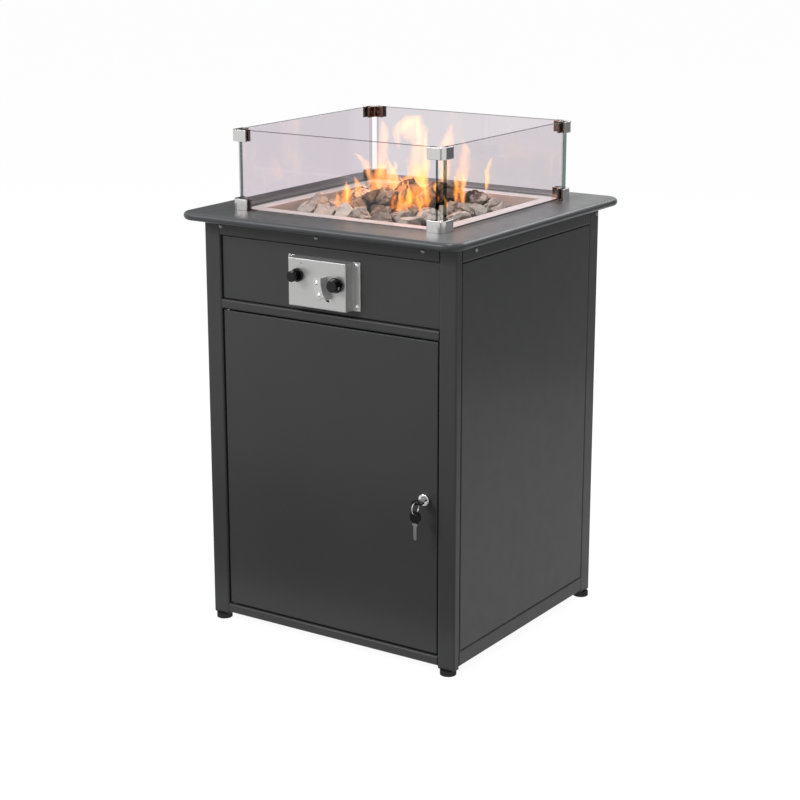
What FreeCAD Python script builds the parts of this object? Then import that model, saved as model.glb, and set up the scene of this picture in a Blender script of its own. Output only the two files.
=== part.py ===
import FreeCAD, Part
import math
import os
import random

# A gas fire pit table: a tube frame with flush sheet panels and a door for the bottle,
# a folded tabletop with a recessed burner tray, a control box on the front and a glass
# wind guard held by eight corner clips. Millimetres. X runs along the front to the
# right, -Y is the front, +Z is up, and the origin is on the floor under the middle.

V = FreeCAD.Vector
UP = V(0, 0, 1)

# Tabletop
table_side = 500.0
table_top = 663.0
table_edge = 12.5
table_corner = 25.0
table_sheet = 2.0
table_return = 14.0
table_edge_round = table_edge / 2 - 0.1

# Body frame
side_overhang = 22.0
end_overhang = 38.0
body_width = table_side - 2 * side_overhang
body_depth = table_side - 2 * end_overhang
tube_wide = 30.0
tube_thin = 15.0
tube_wall = 1.5
tube_round = 3.0
post_bottom = 8.0
cap_flange = 3.0
cap_plug = 20.0
cap_chamfer = 1.4
cap_ease = 0.1
rail_bottom = 12.0
front_sill = 15.0
side_sill = 25.0
top_rail = 35.0
middle_rail = 15.0
middle_rail_z = 512.0

# Sheet panels
sheet = 1.2
panel_return = 12.0
panel_gap = 0.7
panel_bend = 1.5
control_recess = 4.5
base_sheet = 1.5
base_lip = 10.0
base_rise = 2.0
vent_slot = (52.0, 5.0)
vent_pitch = (92.0, 14.0)
vent_columns = 3
vent_rows = 3
vent_inset = 60.0
base_hole_r = 8.0
base_hole_pitch = 90.0

# Levelling feet
foot_r = 12.5
foot_height = 7.6
foot_teeth = 26
foot_tooth_depth = 0.9
foot_stem_r = 4.0
foot_stem = 22.0
running = 0.05
dome_share = 0.75

# Door
door_gap = 2.5
door_recess = 2.5
door_return = 14.0
pivot_in = 6.0
pivot_back = 5.0
pivot_r = 3.0
pivot_length = 9.0
bush_r = 5.0
bush_flange_r = 6.5
bush_flange = 1.0
bush_body = 4.0
pin_end_gap = 0.5

# Cam lock and keys
lock_from_edge = 21.5
lock_head_r = 9.0
lock_head = 5.5
lock_body_r = 7.5
lock_body = 21.0
lock_ease = 0.1
lock_head_round = 1.5
lock_nut_across = 21.0
lock_nut = 4.0
core_r = 5.0
key_slot_depth = 7.0
key_slot_ease = 0.1
cam_length = 38.0
cam_width = 13.0
cam_sheet = 2.0
cam_square = 6.0
cam_end_flat = 1.0
staked_r = 4.9
staked_head = 1.6
key_sheet = 2.4
key_neck = 6.0
key_neck_width = 9.0
key_bow = (18.0, 16.0)
key_bow_corner = 4.0
key_hole_round = 2.0
key_hole = (7.5, 8.0)
key_strip = 2.6
key_blade = 22.0
key_blade_thin = 0.7
key_tip_share = 0.3
key_end_gap = 0.5
spare_key_narrower = 1.5
spare_key_above_hole = 5.0
key_blade_width = 7.0
ring_r = 9.0
ring_wire = 0.75
ring_play = 0.4
spare_hole_r = 2.4

# Control box
box_left = -57.5
box_width = 104.0
box_right = box_left + box_width
box_bottom = 537.5
box_height = 73.0
box_out = 20.0
box_sheet = 1.2
box_flange = 13.0
box_bend = 1.6
box_screw_in = 6.5
box_screw_low = 7.0
box_screw_high = 4.0
box_screw_r = 2.0
box_screw_head_r = 3.6
box_screw_head = 2.4
box_screw_past = 4.0
box_window_in = 5.0
screw_ease = 0.1

# Igniter
igniter_from_left = 17.9
igniter_x = box_left + igniter_from_left
igniter_z = 585.3
igniter_r = 8.0
igniter_front = 3.0
igniter_length = 42.0
igniter_nut_r = 10.3
igniter_nut = 4.5
igniter_nut_teeth = 24
igniter_knurl = 0.6
igniter_bore_r = 5.0
button_r = 8.2
button_head = 5.0
button_travel = 6.0
button_stem = 22.0
button_crown = 1.8
button_rest_gap = 0.5

# Gas valve and knob
valve_from_right = 14.5
valve_x = box_right - valve_from_right
valve_z = 578.0
valve_neck_r = 7.0
valve_block = (30.0, 28.0, 30.0)
valve_behind = 4.5
valve_outlet_r = 8.0
valve_outlet = 8.0
valve_inlet_r = 9.0
valve_inlet = 8.0
inlet_thread_r = 6.6
inlet_thread = 14.0
spindle_r = 3.0
spindle_out = 10.5
spindle_in = 20.0
spindle_flat = 1.0
spindle_flat_from_box = 0.5
spindle_end_gap = 2.5
spindle_room = 2.0
knob_r = 11.5
knob_skirt = 2.5
knob_root_r = 10.6
knob_nose_r = 8.8
knob_crown = 1.6
knob_depth = 12.5
knob_gap = 4.2
knob_travel = 3.5
knob_socket_past = 0.4
set_screw_angle = -15.0
set_screw_r = 2.2
set_screw = 6.0
set_screw_up = 6.0
set_screw_slot = 0.7
set_screw_slot_depth = 1.0
set_screw_from_spindle = 1.0

# Quadrant bracket beside the knob
quadrant_past_right = 10.5
quadrant_x = box_right + quadrant_past_right
quadrant_z = 583.0
quadrant_r = 45.0
quadrant_outer = 68.5
quadrant_wall = 1.5
quadrant_height = 14.5
quadrant_sheet = 1.2
quadrant_from = 174.0
quadrant_to = 217.0
quadrant_plate_from = 179.0
quadrant_plate_to = 208.0
quadrant_corner = 4.0
rivet_circle = 62.3
rivet_angles = (185.5, 202.4)
rivet_r = 2.0
rivet_head_r = 3.2
rivet_head = 1.2
rivet_past = 1.0
slot_from_right = 33.1
face_slot = (box_right - slot_from_right, 551.9)
face_slot_size = (7.5, 3.4)
face_slot_tilt = 16.0
dot_from_left = 24.1
face_dot = (box_left + dot_from_left, 602.8)
face_dot_r = 1.0

# Burner tray
tray_margin = 74.0
tray_flange_width = 21.0
tray_flange = table_side / 2 - tray_margin
tray_half = tray_flange - tray_flange_width
tray_sheet = 1.5
tray_depth = 39.0
tray_corner = 6.0
cutout_ease = 3.5
cutout_lip = 10.0
drain_from_wall = 20.0
drain_r = 3.0

# Burner
burner_tube_r = 8.0
burner_spread = 55.0
burner_length = 170.0
burner_lift = 13.0
hub_r = 16.0
port_r = 1.4
port_depth = 2.5
port_count = 8
port_pitch = 19.0
mixer_r = 11.0
mixer_bore = 9.0
mixer_length = 56.0
air_hole_r = 4.0
air_hole_up = 12.0
injector_r = 12.0
injector_height = 14.0
nozzle_r = 5.0
nozzle_length = 6.0
injector_stub_r = 6.0
injector_stub = 22.0
gas_tube_r = 4.0
gas_tube_bore = 3.0
gas_run_out = 57.0
gas_run_in = 48.0

# Spark electrode
electrode_y = -74.0
electrode_r = 3.0
electrode_collar_r = 5.5
electrode_collar = 3.0
electrode_tip_r = 0.9
electrode_below = 12.0
electrode_above = 13.0
electrode_tip = 8.0
electrode_room = 3.0

# Stones
bed_thick = 24.0
bed_ease = 0.4
burner_room = 1.0
stone_seed = 16
stone_gap = 0.8
stone_sliver = 0.2
stone_wall_gap = 13.0
stone_pitch = 37.0
stones_across = int(2 * (tray_half - stone_wall_gap) / stone_pitch)
stone_jitter = 11.0
layer_pitch = 20.0
first_layer = 7.0
layer_jitter = 4.0
layer_shift = (9.0, -7.0)
layers = 4
heap_edge = 10.0
heap_rise = 36.0
heap_curve = 0.9
heap_slope_from_wall = 30.0
heap_radius = tray_half - heap_slope_from_wall
heap_from_wall = 7.0
heap_reach = tray_half - heap_from_wall
neighbour_count = 45

# Wind guard
guard_clear = 1.6
guard_top = 785.5
glass = 6.0
glass_polish = 0.5
liner = 1.0
clip_wall = 2.2
clip_leg = 28.0
clip_height = 17.5
clip_round = 9.0
clip_inner_round = 1.5
clip_floor = 2.0
pane_end_gap = 5.0
clip_screw_r = 2.0
clip_screw_slot = 0.7
clip_screw_slot_depth = 1.0
clip_screw_from_end = 8.0

# Tabletop brackets
bracket_leg = 22.0
bracket_width = 18.0
bracket_sheet = 2.0
bracket_drop = 21.0
bracket_from_left = 32.0
bracket_off_middle = -17.0
bracket_from_right = 58.0
bracket_from_front = 52.0
bracket_screw_r = 2.0
bracket_head_r = 3.5
bracket_head = 1.8
bracket_screw_past = 1.5
post_screw_bite = 8.0

# Planes that several pieces share
half_w = body_width / 2
half_d = body_depth / 2
front_inner = -half_d + tube_thin
rear_inner = half_d - tube_thin
post_inner = half_w - tube_wide
side_inner = half_w - tube_thin
rear_post_front = half_d - tube_wide
frame_top = table_top - table_sheet
top_rail_z = frame_top - top_rail
bracket_places_front = (bracket_from_left - half_w, bracket_off_middle,
                        half_w - bracket_from_right)
bracket_places_side = (bracket_from_front - half_d,)
post_screw_y = half_d - tube_thin / 2
cap_top = post_bottom + cap_flange
door_face = -half_d + door_recess
door_x0 = -post_inner + door_gap
door_x1 = post_inner - door_gap
door_z0 = rail_bottom + front_sill + door_gap
door_z1 = middle_rail_z - door_gap
pivot_x = door_x0 + pivot_in
pivot_y = door_face + pivot_back
lock_x = door_x1 - lock_from_edge
lock_z = (door_z0 + door_z1) / 2
control_face = -half_d + control_recess
control_z0 = middle_rail_z + middle_rail + panel_gap
control_z1 = top_rail_z - panel_gap
box_face = control_face - box_out
tray_floor = table_top - tray_depth
bed_top = tray_floor + bed_thick
clip_thick = 2 * clip_wall + 2 * liner + glass
guard_half = tray_flange + guard_clear + clip_thick
pane_outer = guard_half - clip_wall - liner
pane_inner = pane_outer - glass
pane_half = pane_inner - pane_end_gap
pane_bottom = table_top + clip_floor

pieces = {}


def box(x0, x1, y0, y1, z0, z1):
    """A block between two corners."""
    return Part.makeBox(x1 - x0, y1 - y0, z1 - z0, V(x0, y0, z0))


def edges_along(shape, axis):
    """The straight edges that run along one axis: 0, 1 or 2."""
    found = []
    for edge in shape.Edges:
        if len(edge.Vertexes) != 2:
            continue
        step = edge.Vertexes[1].Point - edge.Vertexes[0].Point
        across = [abs(step[i]) for i in range(3) if i != axis]
        if abs(step[axis]) > 1e-6 and max(across) < 1e-6:
            found.append(edge)
    return found


def rounded(block, axis, radius):
    """A block with the four edges along one axis rounded."""
    if radius <= 0:
        return block
    return block.makeFillet(radius, edges_along(block, axis))


def rod(point, direction, radius, length):
    """A round bar from a point along a direction."""
    return Part.makeCylinder(radius, length, point, direction)


def tube_bar(x0, x1, y0, y1, z0, z1, axis):
    """A rectangular steel tube with rounded corners, open at both ends."""
    outer = rounded(box(x0, x1, y0, y1, z0, z1), axis, tube_round)
    low = [x0, y0, z0]
    high = [x1, y1, z1]
    for i in range(3):
        inset = -1.0 if i == axis else tube_wall
        low[i] += inset
        high[i] -= inset
    bore = rounded(box(low[0], high[0], low[1], high[1], low[2], high[2]),
                   axis, tube_round - tube_wall)
    return outer.cut(bore)


def pan(width, height, depth, thick, bend):
    """A folded sheet panel: its face lies at y = 0 and looks along -Y, its returns go back."""
    outer = box(-width / 2, width / 2, 0, depth, 0, height)
    front = [e for e in outer.Edges if all(abs(v.Y) < 1e-6 for v in e.Vertexes)]
    outer = outer.makeFillet(bend, front)
    inner = box(-width / 2 + thick, width / 2 - thick, thick, depth + 1,
                thick, height - thick)
    return outer.cut(inner)


def turned(shape, degrees, centre=V(0, 0, 0)):
    """A copy turned about the upright axis."""
    copy = shape.copy()
    copy.rotate(centre, UP, degrees)
    return copy


def moved(shape, x, y, z):
    """A copy moved to a place."""
    copy = shape.copy()
    copy.translate(V(x, y, z))
    return copy


def mirrored(shape):
    """A copy mirrored from the right side to the left side."""
    return shape.mirror(V(0, 0, 0), V(1, 0, 0))


def join(shapes):
    """Several touching solids as one."""
    first = shapes[0].fuse(shapes[1:]) if len(shapes) > 1 else shapes[0]
    return first.removeSplitter()


def cut_all(shape, tools):
    """A shape with each tool cut out of it."""
    return shape.cut(tools) if tools else shape


def dome(point, direction, radius, height):
    """The head of a dome screw or rivet, on a face, with its crown along a direction."""
    rise = height * dome_share
    ball_r = (radius ** 2 + rise ** 2) / (2 * rise)
    half_way = math.asin(radius / ball_r) / 2
    middle = V(ball_r * math.sin(half_way), 0, height - ball_r * (1 - math.cos(half_way)))
    crown = Part.Arc(V(radius, 0, height - rise), middle, V(0, 0, height)).toShape()
    outline = Part.Wire([Part.LineSegment(V(0, 0, 0), V(radius, 0, 0)).toShape(),
                         Part.LineSegment(V(radius, 0, 0),
                                          V(radius, 0, height - rise)).toShape(),
                         crown,
                         Part.LineSegment(V(0, 0, height), V(0, 0, 0)).toShape()])
    head = Part.Face(outline).revolve(V(0, 0, 0), UP, 360)
    head.Placement = FreeCAD.Placement(point, FreeCAD.Rotation(UP, direction))
    return head


def toothed(radius, depth, teeth, length):
    """An upright knurled disc standing on z = 0."""
    points = []
    for i in range(2 * teeth):
        reach = radius if i % 2 == 0 else radius - depth
        angle = math.pi * i / teeth
        points.append(V(reach * math.cos(angle), reach * math.sin(angle), 0))
    points.append(points[0])
    return Part.Face(Part.makePolygon(points)).extrude(V(0, 0, length))


def facing(shape, x, y, z):
    """A shape built upwards from z = 0, laid down to point out of the front at a place."""
    copy = shape.copy()
    copy.rotate(V(0, 0, 0), V(1, 0, 0), 90)
    copy.translate(V(x, y, z))
    return copy


def sector(r0, r1, start, end, z0, z1):
    """A piece of a flat ring between two angles, standing on z0."""
    ring = Part.makeCylinder(r1, z1 - z0, V(0, 0, z0), UP, end - start)
    ring = ring.cut(Part.makeCylinder(r0, z1 - z0 + 2, V(0, 0, z0 - 1)))
    ring.rotate(V(0, 0, 0), UP, start)
    return ring


def make_frame():
    """The four posts and the nine rails, butted and welded, with the holes drilled in them."""
    front_post = tube_bar(post_inner, half_w, -half_d, front_inner, cap_top, frame_top, 2)
    rear_post = tube_bar(side_inner, half_w, rear_post_front, half_d, cap_top, frame_top, 2)
    pieces["front_post_right"] = front_post
    pieces["front_post_left"] = mirrored(front_post)
    post_drill = rod(V(half_w + 1, post_screw_y, frame_top - bracket_drop), V(-1, 0, 0),
                     bracket_screw_r + screw_ease, tube_thin + 2)
    rear_post = rear_post.cut(post_drill)
    pieces["rear_post_right"] = rear_post
    pieces["rear_post_left"] = mirrored(rear_post)

    def front_rail(z0, height):
        return tube_bar(-post_inner, post_inner, -half_d, front_inner, z0, z0 + height, 0)

    def rear_rail(z0, height):
        return tube_bar(-side_inner, side_inner, rear_inner, half_d, z0, z0 + height, 0)

    def side_rail(z0, height):
        return tube_bar(side_inner, half_w, front_inner, rear_post_front, z0, z0 + height, 1)

    pivot_hole = rod(V(pivot_x, pivot_y, 0), UP, bush_r, table_top)
    bottom_hole = pivot_hole.common(box(-half_w, half_w, -half_d, half_d,
                                        rail_bottom + front_sill - bush_body,
                                        rail_bottom + front_sill + 1))
    middle_hole = pivot_hole.common(box(-half_w, half_w, -half_d, half_d,
                                        middle_rail_z - 1, middle_rail_z + bush_body))
    front_drills = [bracket_hole(x, 0) for x in bracket_places_front]
    side_drills = [bracket_hole(y, 90) for y in bracket_places_side]
    pieces["front_rail_top"] = cut_all(front_rail(top_rail_z, top_rail), front_drills)
    pieces["front_rail_middle"] = front_rail(middle_rail_z, middle_rail).cut(middle_hole)
    pieces["front_rail_bottom"] = front_rail(rail_bottom, front_sill).cut(bottom_hole)
    pieces["rear_rail_top"] = rear_rail(top_rail_z, top_rail)
    pieces["rear_rail_bottom"] = rear_rail(rail_bottom, side_sill)
    top_side = cut_all(side_rail(top_rail_z, top_rail), side_drills)
    pieces["side_rails_top"] = Part.makeCompound([top_side, mirrored(top_side)])
    bottom_side = side_rail(rail_bottom, side_sill)
    pieces["side_rails_bottom"] = Part.makeCompound([bottom_side, mirrored(bottom_side)])


def bracket_frame(place, degrees):
    """Where a bracket stands: a point on the outer face of a top rail, and the way out."""
    z = frame_top - bracket_drop
    if degrees == 0:
        return V(place, -half_d, z), V(0, -1, 0)
    return V(half_w, place, z), V(1, 0, 0)


def bracket_hole(place, degrees):
    """The screw hole through a top rail."""
    point, out = bracket_frame(place, degrees)
    reach = tube_thin + 2
    return rod(point + out, out * -1, bracket_screw_r + screw_ease, reach)


def make_brackets():
    """The angle brackets of the tabletop, their screws, and the screws of the rear posts."""
    brackets = []
    screws = []
    spots = [(x, 0) for x in bracket_places_front] + [(y, 90) for y in bracket_places_side]
    for place, degrees in spots:
        point, out = bracket_frame(place, degrees)
        upright = box(-bracket_width / 2, bracket_width / 2, 0, bracket_sheet,
                      frame_top - bracket_leg - bracket_width / 2, frame_top)
        flat = box(-bracket_width / 2, bracket_width / 2, 0, bracket_leg,
                   frame_top - bracket_sheet, frame_top)
        angle = join([upright, flat])
        hole = rod(V(0, -1, point.z), V(0, 1, 0), bracket_screw_r + screw_ease,
                   bracket_sheet + 2)
        angle = turned(angle.cut(hole), degrees)
        inner = point - out * tube_thin
        angle.translate(V(inner.x, inner.y, 0))
        shank = rod(point, out * -1, bracket_screw_r,
                    tube_thin + bracket_sheet + bracket_screw_past)
        screw = join([shank, dome(point, out, bracket_head_r, bracket_head)])
        brackets.append(angle)
        screws.append(screw)
        if degrees == 90:
            brackets.append(mirrored(angle))
            screws.append(mirrored(screw))
    seat = V(half_w, post_screw_y, frame_top - bracket_drop)
    shank = rod(seat, V(-1, 0, 0), bracket_screw_r, tube_thin + post_screw_bite)
    post_screw = join([shank, dome(seat, V(1, 0, 0), bracket_head_r, bracket_head)])
    screws += [post_screw, mirrored(post_screw)]
    pieces["table_brackets"] = Part.makeCompound(brackets)
    pieces["bracket_screws"] = Part.makeCompound(screws)


def make_feet():
    """The plastic caps in the post ends and the screw feet that turn in them."""
    front = (half_w - tube_wide / 2, -half_d + tube_thin / 2, tube_wide, tube_thin)
    rear = (half_w - tube_thin / 2, half_d - tube_wide / 2, tube_thin, tube_wide)
    foot = toothed(foot_r, foot_tooth_depth, foot_teeth, foot_height)
    foot = join([foot, rod(V(0, 0, foot_height), UP, foot_stem_r, foot_stem)])
    caps = []
    for name, (x, y, wide, deep) in (("front", front), ("rear", rear)):
        flange = rounded(box(-wide / 2, wide / 2, -deep / 2, deep / 2, post_bottom, cap_top),
                         2, tube_round)
        lower = [e for e in flange.Edges
                 if all(abs(v.Z - post_bottom) < 1e-6 for v in e.Vertexes)]
        flange = flange.makeChamfer(cap_chamfer, lower)
        inset = tube_wall + cap_ease
        plug = rounded(box(-wide / 2 + inset, wide / 2 - inset, -deep / 2 + inset,
                           deep / 2 - inset, cap_top, cap_top + cap_plug),
                       2, tube_round - tube_wall)
        bore = rod(V(0, 0, 0), UP, foot_stem_r + running, table_top)
        cap = join([flange, plug]).cut(bore)
        for side, sign in (("right", 1), ("left", -1)):
            caps.append(moved(cap, sign * x, y, 0))
            pieces["foot_" + name + "_" + side] = moved(foot, sign * x, y, 0)
    pieces["post_end_caps"] = Part.makeCompound(caps)


def make_panels():
    """The flush side and rear panels, the control panel and the floor of the cabinet."""
    side_z0 = rail_bottom + side_sill + panel_gap
    side_height = top_rail_z - panel_gap - side_z0
    side_length = rear_post_front - front_inner - 2 * panel_gap
    side = pan(side_length, side_height, panel_return, sheet, panel_bend)
    side = moved(turned(side, 90), half_w, (rear_post_front + front_inner) / 2, side_z0)
    pieces["side_panel_right"] = side
    pieces["side_panel_left"] = mirrored(side)

    rear = pan(2 * side_inner - 2 * panel_gap, side_height, panel_return, sheet, panel_bend)
    slots = []
    for level in (vent_inset, side_height - vent_inset):
        for row in range(vent_rows):
            for column in range(vent_columns):
                x = (column - (vent_columns - 1) / 2) * vent_pitch[0]
                z = level + (row - (vent_rows - 1) / 2) * vent_pitch[1]
                slot = box(x - vent_slot[0] / 2, x + vent_slot[0] / 2, -1, sheet + 1,
                           z - vent_slot[1] / 2, z + vent_slot[1] / 2)
                slots.append(rounded(slot, 1, vent_slot[1] / 2 - 0.05))
    rear = cut_all(rear, slots)
    pieces["rear_panel"] = moved(turned(rear, 180), 0, half_d, side_z0)

    control = pan(2 * post_inner - 2 * panel_gap, control_z1 - control_z0,
                  panel_return, sheet, panel_bend)
    control = moved(control, 0, control_face, control_z0)
    window = box(box_left + box_window_in, box_right - box_window_in,
                 control_face - 1, control_face + sheet + 1,
                 box_bottom + box_window_in, box_bottom + box_height - box_window_in)
    drills = [rod(V(x, control_face - 1, z), V(0, 1, 0), box_screw_r + screw_ease, sheet + 2)
              for x, z in box_screw_places()]
    pieces["control_panel"] = cut_all(control, [window] + drills)

    floor_z = rail_bottom + base_rise
    plate = box(-side_inner, side_inner, front_inner, rear_inner, floor_z,
                floor_z + base_lip)
    hollow = box(-side_inner + base_sheet, side_inner - base_sheet,
                 front_inner + base_sheet, rear_inner - base_sheet,
                 floor_z + base_sheet, floor_z + base_lip + 1)
    holes = []
    for i in (-1, 0, 1):
        for j in (-1, 0, 1):
            holes.append(rod(V(i * base_hole_pitch, j * base_hole_pitch, 0), UP,
                             base_hole_r, table_top))
    pieces["base_plate"] = cut_all(plate.cut(hollow), holes)


def box_screw_places():
    """The four screws in the flanges of the control box, as x and z."""
    x0 = box_left - box_screw_in
    x1 = box_right + box_screw_in
    z0 = box_bottom + box_screw_low
    z1 = box_bottom + box_height - box_screw_high
    return [(x0, z0), (x0, z1), (x1, z0), (x1, z1)]


def make_control_box():
    """The folded stainless box, its screws, the igniter and the knob's quadrant bracket."""
    x1 = box_right
    top = box_bottom + box_height
    hood = box(box_left, x1, box_face, control_face, box_bottom, top)
    front = [e for e in hood.Edges if all(abs(v.Y - box_face) < 1e-6 for v in e.Vertexes)]
    hood = hood.makeFillet(box_bend, front)
    hood = hood.cut(box(box_left + box_sheet, x1 - box_sheet, box_face + box_sheet,
                        control_face + 1, box_bottom + box_sheet, top - box_sheet))
    flanges = []
    for a, b in ((box_left - box_flange, box_left + box_sheet),
                 (x1 - box_sheet, x1 + box_flange)):
        flanges.append(box(a, b, control_face - box_sheet, control_face, box_bottom, top))
    hood = join([hood] + flanges)
    drills = [rod(V(x, box_face - 5, z), V(0, 1, 0), box_screw_r + screw_ease, box_out + 10)
              for x, z in box_screw_places()]
    drills.append(rod(V(igniter_x, box_face - 1, igniter_z), V(0, 1, 0), igniter_r,
                      box_sheet + 2))
    drills.append(rod(V(valve_x, box_face - 1, valve_z), V(0, 1, 0), spindle_r + spindle_room,
                      box_sheet + 2))
    for x, z in rivet_places():
        drills.append(rod(V(x, box_face - 1, z), V(0, 1, 0), rivet_r, box_sheet + 2))
    drills.append(rod(V(face_dot[0], box_face - 1, face_dot[1]), V(0, 1, 0), face_dot_r,
                      box_sheet + 2))
    wide, tall = face_slot_size
    slot = rounded(box(-wide / 2, wide / 2, -1, box_sheet + 1, -tall / 2, tall / 2), 1,
                   tall / 2 - 0.1)
    slot.rotate(V(0, 0, 0), V(0, 1, 0), face_slot_tilt)
    drills.append(moved(slot, face_slot[0], box_face, face_slot[1]))
    pieces["control_box"] = cut_all(hood, drills)

    screws = []
    for x, z in box_screw_places():
        seat = V(x, control_face - box_sheet, z)
        shank = rod(seat, V(0, 1, 0), box_screw_r, box_sheet + sheet + box_screw_past)
        screws.append(join([shank, dome(seat, V(0, -1, 0), box_screw_head_r,
                                        box_screw_head)]))
    pieces["control_box_screws"] = Part.makeCompound(screws)

    front_y = box_face - igniter_nut - igniter_front
    barrel = rod(V(igniter_x, front_y, igniter_z), V(0, 1, 0), igniter_r, igniter_length)
    bore = rod(V(igniter_x, front_y - 1, igniter_z), V(0, 1, 0), igniter_bore_r + running,
               button_stem + button_travel)
    pieces["igniter_body"] = barrel.cut(bore)
    nut = toothed(igniter_nut_r, igniter_knurl, igniter_nut_teeth, igniter_nut)
    nut = nut.cut(rod(V(0, 0, -1), UP, igniter_r, igniter_nut + 2))
    pieces["igniter_nut"] = facing(nut, igniter_x, box_face, igniter_z)
    head_back = front_y - button_travel - button_rest_gap
    head = rod(V(igniter_x, head_back, igniter_z), V(0, -1, 0), button_r, button_head)
    crown = [e for e in head.Edges if len(e.Vertexes) == 1
             and abs(e.Vertexes[0].Y - (head_back - button_head)) < 1e-6]
    head = head.makeFillet(button_crown, crown)
    stem = rod(V(igniter_x, head_back, igniter_z), V(0, 1, 0), igniter_bore_r, button_stem)
    pieces["igniter_button"] = join([head, stem])

    plate = sector(quadrant_r, quadrant_outer, quadrant_plate_from, quadrant_plate_to,
                   0, quadrant_sheet)
    outer = [e for e in edges_along(plate, 2)
             if math.hypot(e.Vertexes[0].X, e.Vertexes[0].Y) > quadrant_outer - 1]
    plate = plate.makeFillet(quadrant_corner, outer)
    wall = sector(quadrant_r, quadrant_r + quadrant_wall, quadrant_from, quadrant_to,
                  0, quadrant_height)
    bracket = facing(join([plate, wall]), quadrant_x, box_face, quadrant_z)
    holes = [rod(V(x, box_face - 5, z), V(0, 1, 0), rivet_r, 10) for x, z in rivet_places()]
    pieces["quadrant_bracket"] = cut_all(bracket, holes)
    rivets = []
    for x, z in rivet_places():
        seat = V(x, box_face - quadrant_sheet, z)
        shank = rod(seat, V(0, 1, 0), rivet_r, quadrant_sheet + box_sheet + rivet_past)
        rivets.append(join([shank, dome(seat, V(0, -1, 0), rivet_head_r, rivet_head)]))
    pieces["quadrant_rivets"] = Part.makeCompound(rivets)


def rivet_places():
    """The two rivets of the quadrant bracket, on a circle about its centre, as x and z."""
    places = []
    for angle in rivet_angles:
        turn = math.radians(angle)
        places.append((quadrant_x + rivet_circle * math.cos(turn),
                       quadrant_z + rivet_circle * math.sin(turn)))
    return places


def make_valve():
    """The gas valve behind the control box, its spindle and the black knob."""
    wide, deep, tall = valve_block
    block_front = control_face + valve_behind
    block_back = block_front + deep
    block = box(valve_x - wide / 2, valve_x + wide / 2, block_front, block_back,
                valve_z - tall / 2, valve_z + tall / 2)
    neck_front = box_face + box_sheet
    neck = rod(V(valve_x, neck_front, valve_z), V(0, 1, 0), valve_neck_r,
               block_front - neck_front)
    outlet = rod(V(valve_x, block_back, valve_z), V(0, 1, 0), valve_outlet_r, valve_outlet)
    inlet_y = (block_front + block_back) / 2
    inlet_top = valve_z - tall / 2
    inlet = rod(V(valve_x, inlet_y, inlet_top), V(0, 0, -1), valve_inlet_r, valve_inlet)
    thread = rod(V(valve_x, inlet_y, inlet_top - valve_inlet), V(0, 0, -1),
                 inlet_thread_r, inlet_thread)
    gas_way = rod(V(valve_x, inlet_y, inlet_top - valve_inlet - inlet_thread - 1), UP,
                  gas_tube_bore, inlet_thread + valve_inlet)
    bore = rod(V(valve_x, neck_front - 1, valve_z), V(0, 1, 0), spindle_r + running,
               spindle_in)
    body = join([block, neck, outlet, inlet, thread])
    pieces["valve_body"] = cut_all(body, [bore, gas_way])

    tip = box_face - spindle_out
    length = spindle_out + box_sheet + spindle_in - spindle_end_gap
    shaft = rod(V(valve_x, tip, valve_z), V(0, 1, 0), spindle_r, length)
    flat = box(valve_x - spindle_r, valve_x + spindle_r,
               tip - 1, box_face - spindle_flat_from_box,
               valve_z + spindle_r - spindle_flat, valve_z + spindle_r + 1)
    pieces["valve_spindle"] = shaft.cut(flat)

    skirt = Part.makeCylinder(knob_r, knob_skirt)
    grip = Part.makeCone(knob_root_r, knob_nose_r, knob_depth - knob_skirt,
                         V(0, 0, knob_skirt))
    rim = [e for e in grip.Edges if len(e.Vertexes) == 1
           and abs(e.Vertexes[0].Z - knob_depth) < 1e-6]
    knob = join([skirt, grip.makeFillet(knob_crown, rim)])
    socket = Part.makeCylinder(spindle_r + running,
                               spindle_out - knob_gap + knob_travel + knob_socket_past)
    turn = math.radians(set_screw_angle)
    aim = V(math.cos(turn), math.sin(turn), 0)
    reach = spindle_r + running + set_screw_from_spindle
    hole = rod(aim * reach + V(0, 0, set_screw_up), aim, set_screw_r, knob_r)
    knob = knob.cut([socket, hole])
    knob_back = box_face - knob_gap
    pieces["knob"] = facing(knob, valve_x, knob_back, valve_z)
    screw = rod(aim * reach + V(0, 0, set_screw_up), aim, set_screw_r, set_screw)
    tip = aim * (reach + set_screw) + V(0, 0, set_screw_up)
    slot = box(-set_screw_slot_depth, 1, -set_screw_slot / 2, set_screw_slot / 2,
               -set_screw_r - 1, set_screw_r + 1)
    slot.rotate(V(0, 0, 0), UP, set_screw_angle)
    slot.translate(tip)
    pieces["knob_set_screw"] = facing(screw.cut(slot), valve_x, knob_back, valve_z)


def smooth_wire(points, share=0.45):
    """Straight runs joined by tangent arcs, each as large as its two runs allow."""
    edges = []
    start = points[0]
    for i in range(1, len(points) - 1):
        before = points[i] - points[i - 1]
        after = points[i + 1] - points[i]
        back = share * min(before.Length, after.Length)
        before.normalize()
        after.normalize()
        enter = points[i] - before * back
        leave = points[i] + after * back
        half_turn = before.getAngle(after) / 2
        inward = after - before
        inward.normalize()
        radius = back / math.tan(half_turn)
        centre = points[i] + inward * (radius / math.cos(half_turn))
        middle = centre - inward * radius
        edges.append(Part.LineSegment(start, enter).toShape())
        edges.append(Part.Arc(enter, middle, leave).toShape())
        print("gas tube bend radius", round(radius, 1))
        start = leave
    edges.append(Part.LineSegment(start, points[-1]).toShape())
    return Part.Wire(edges)


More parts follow.
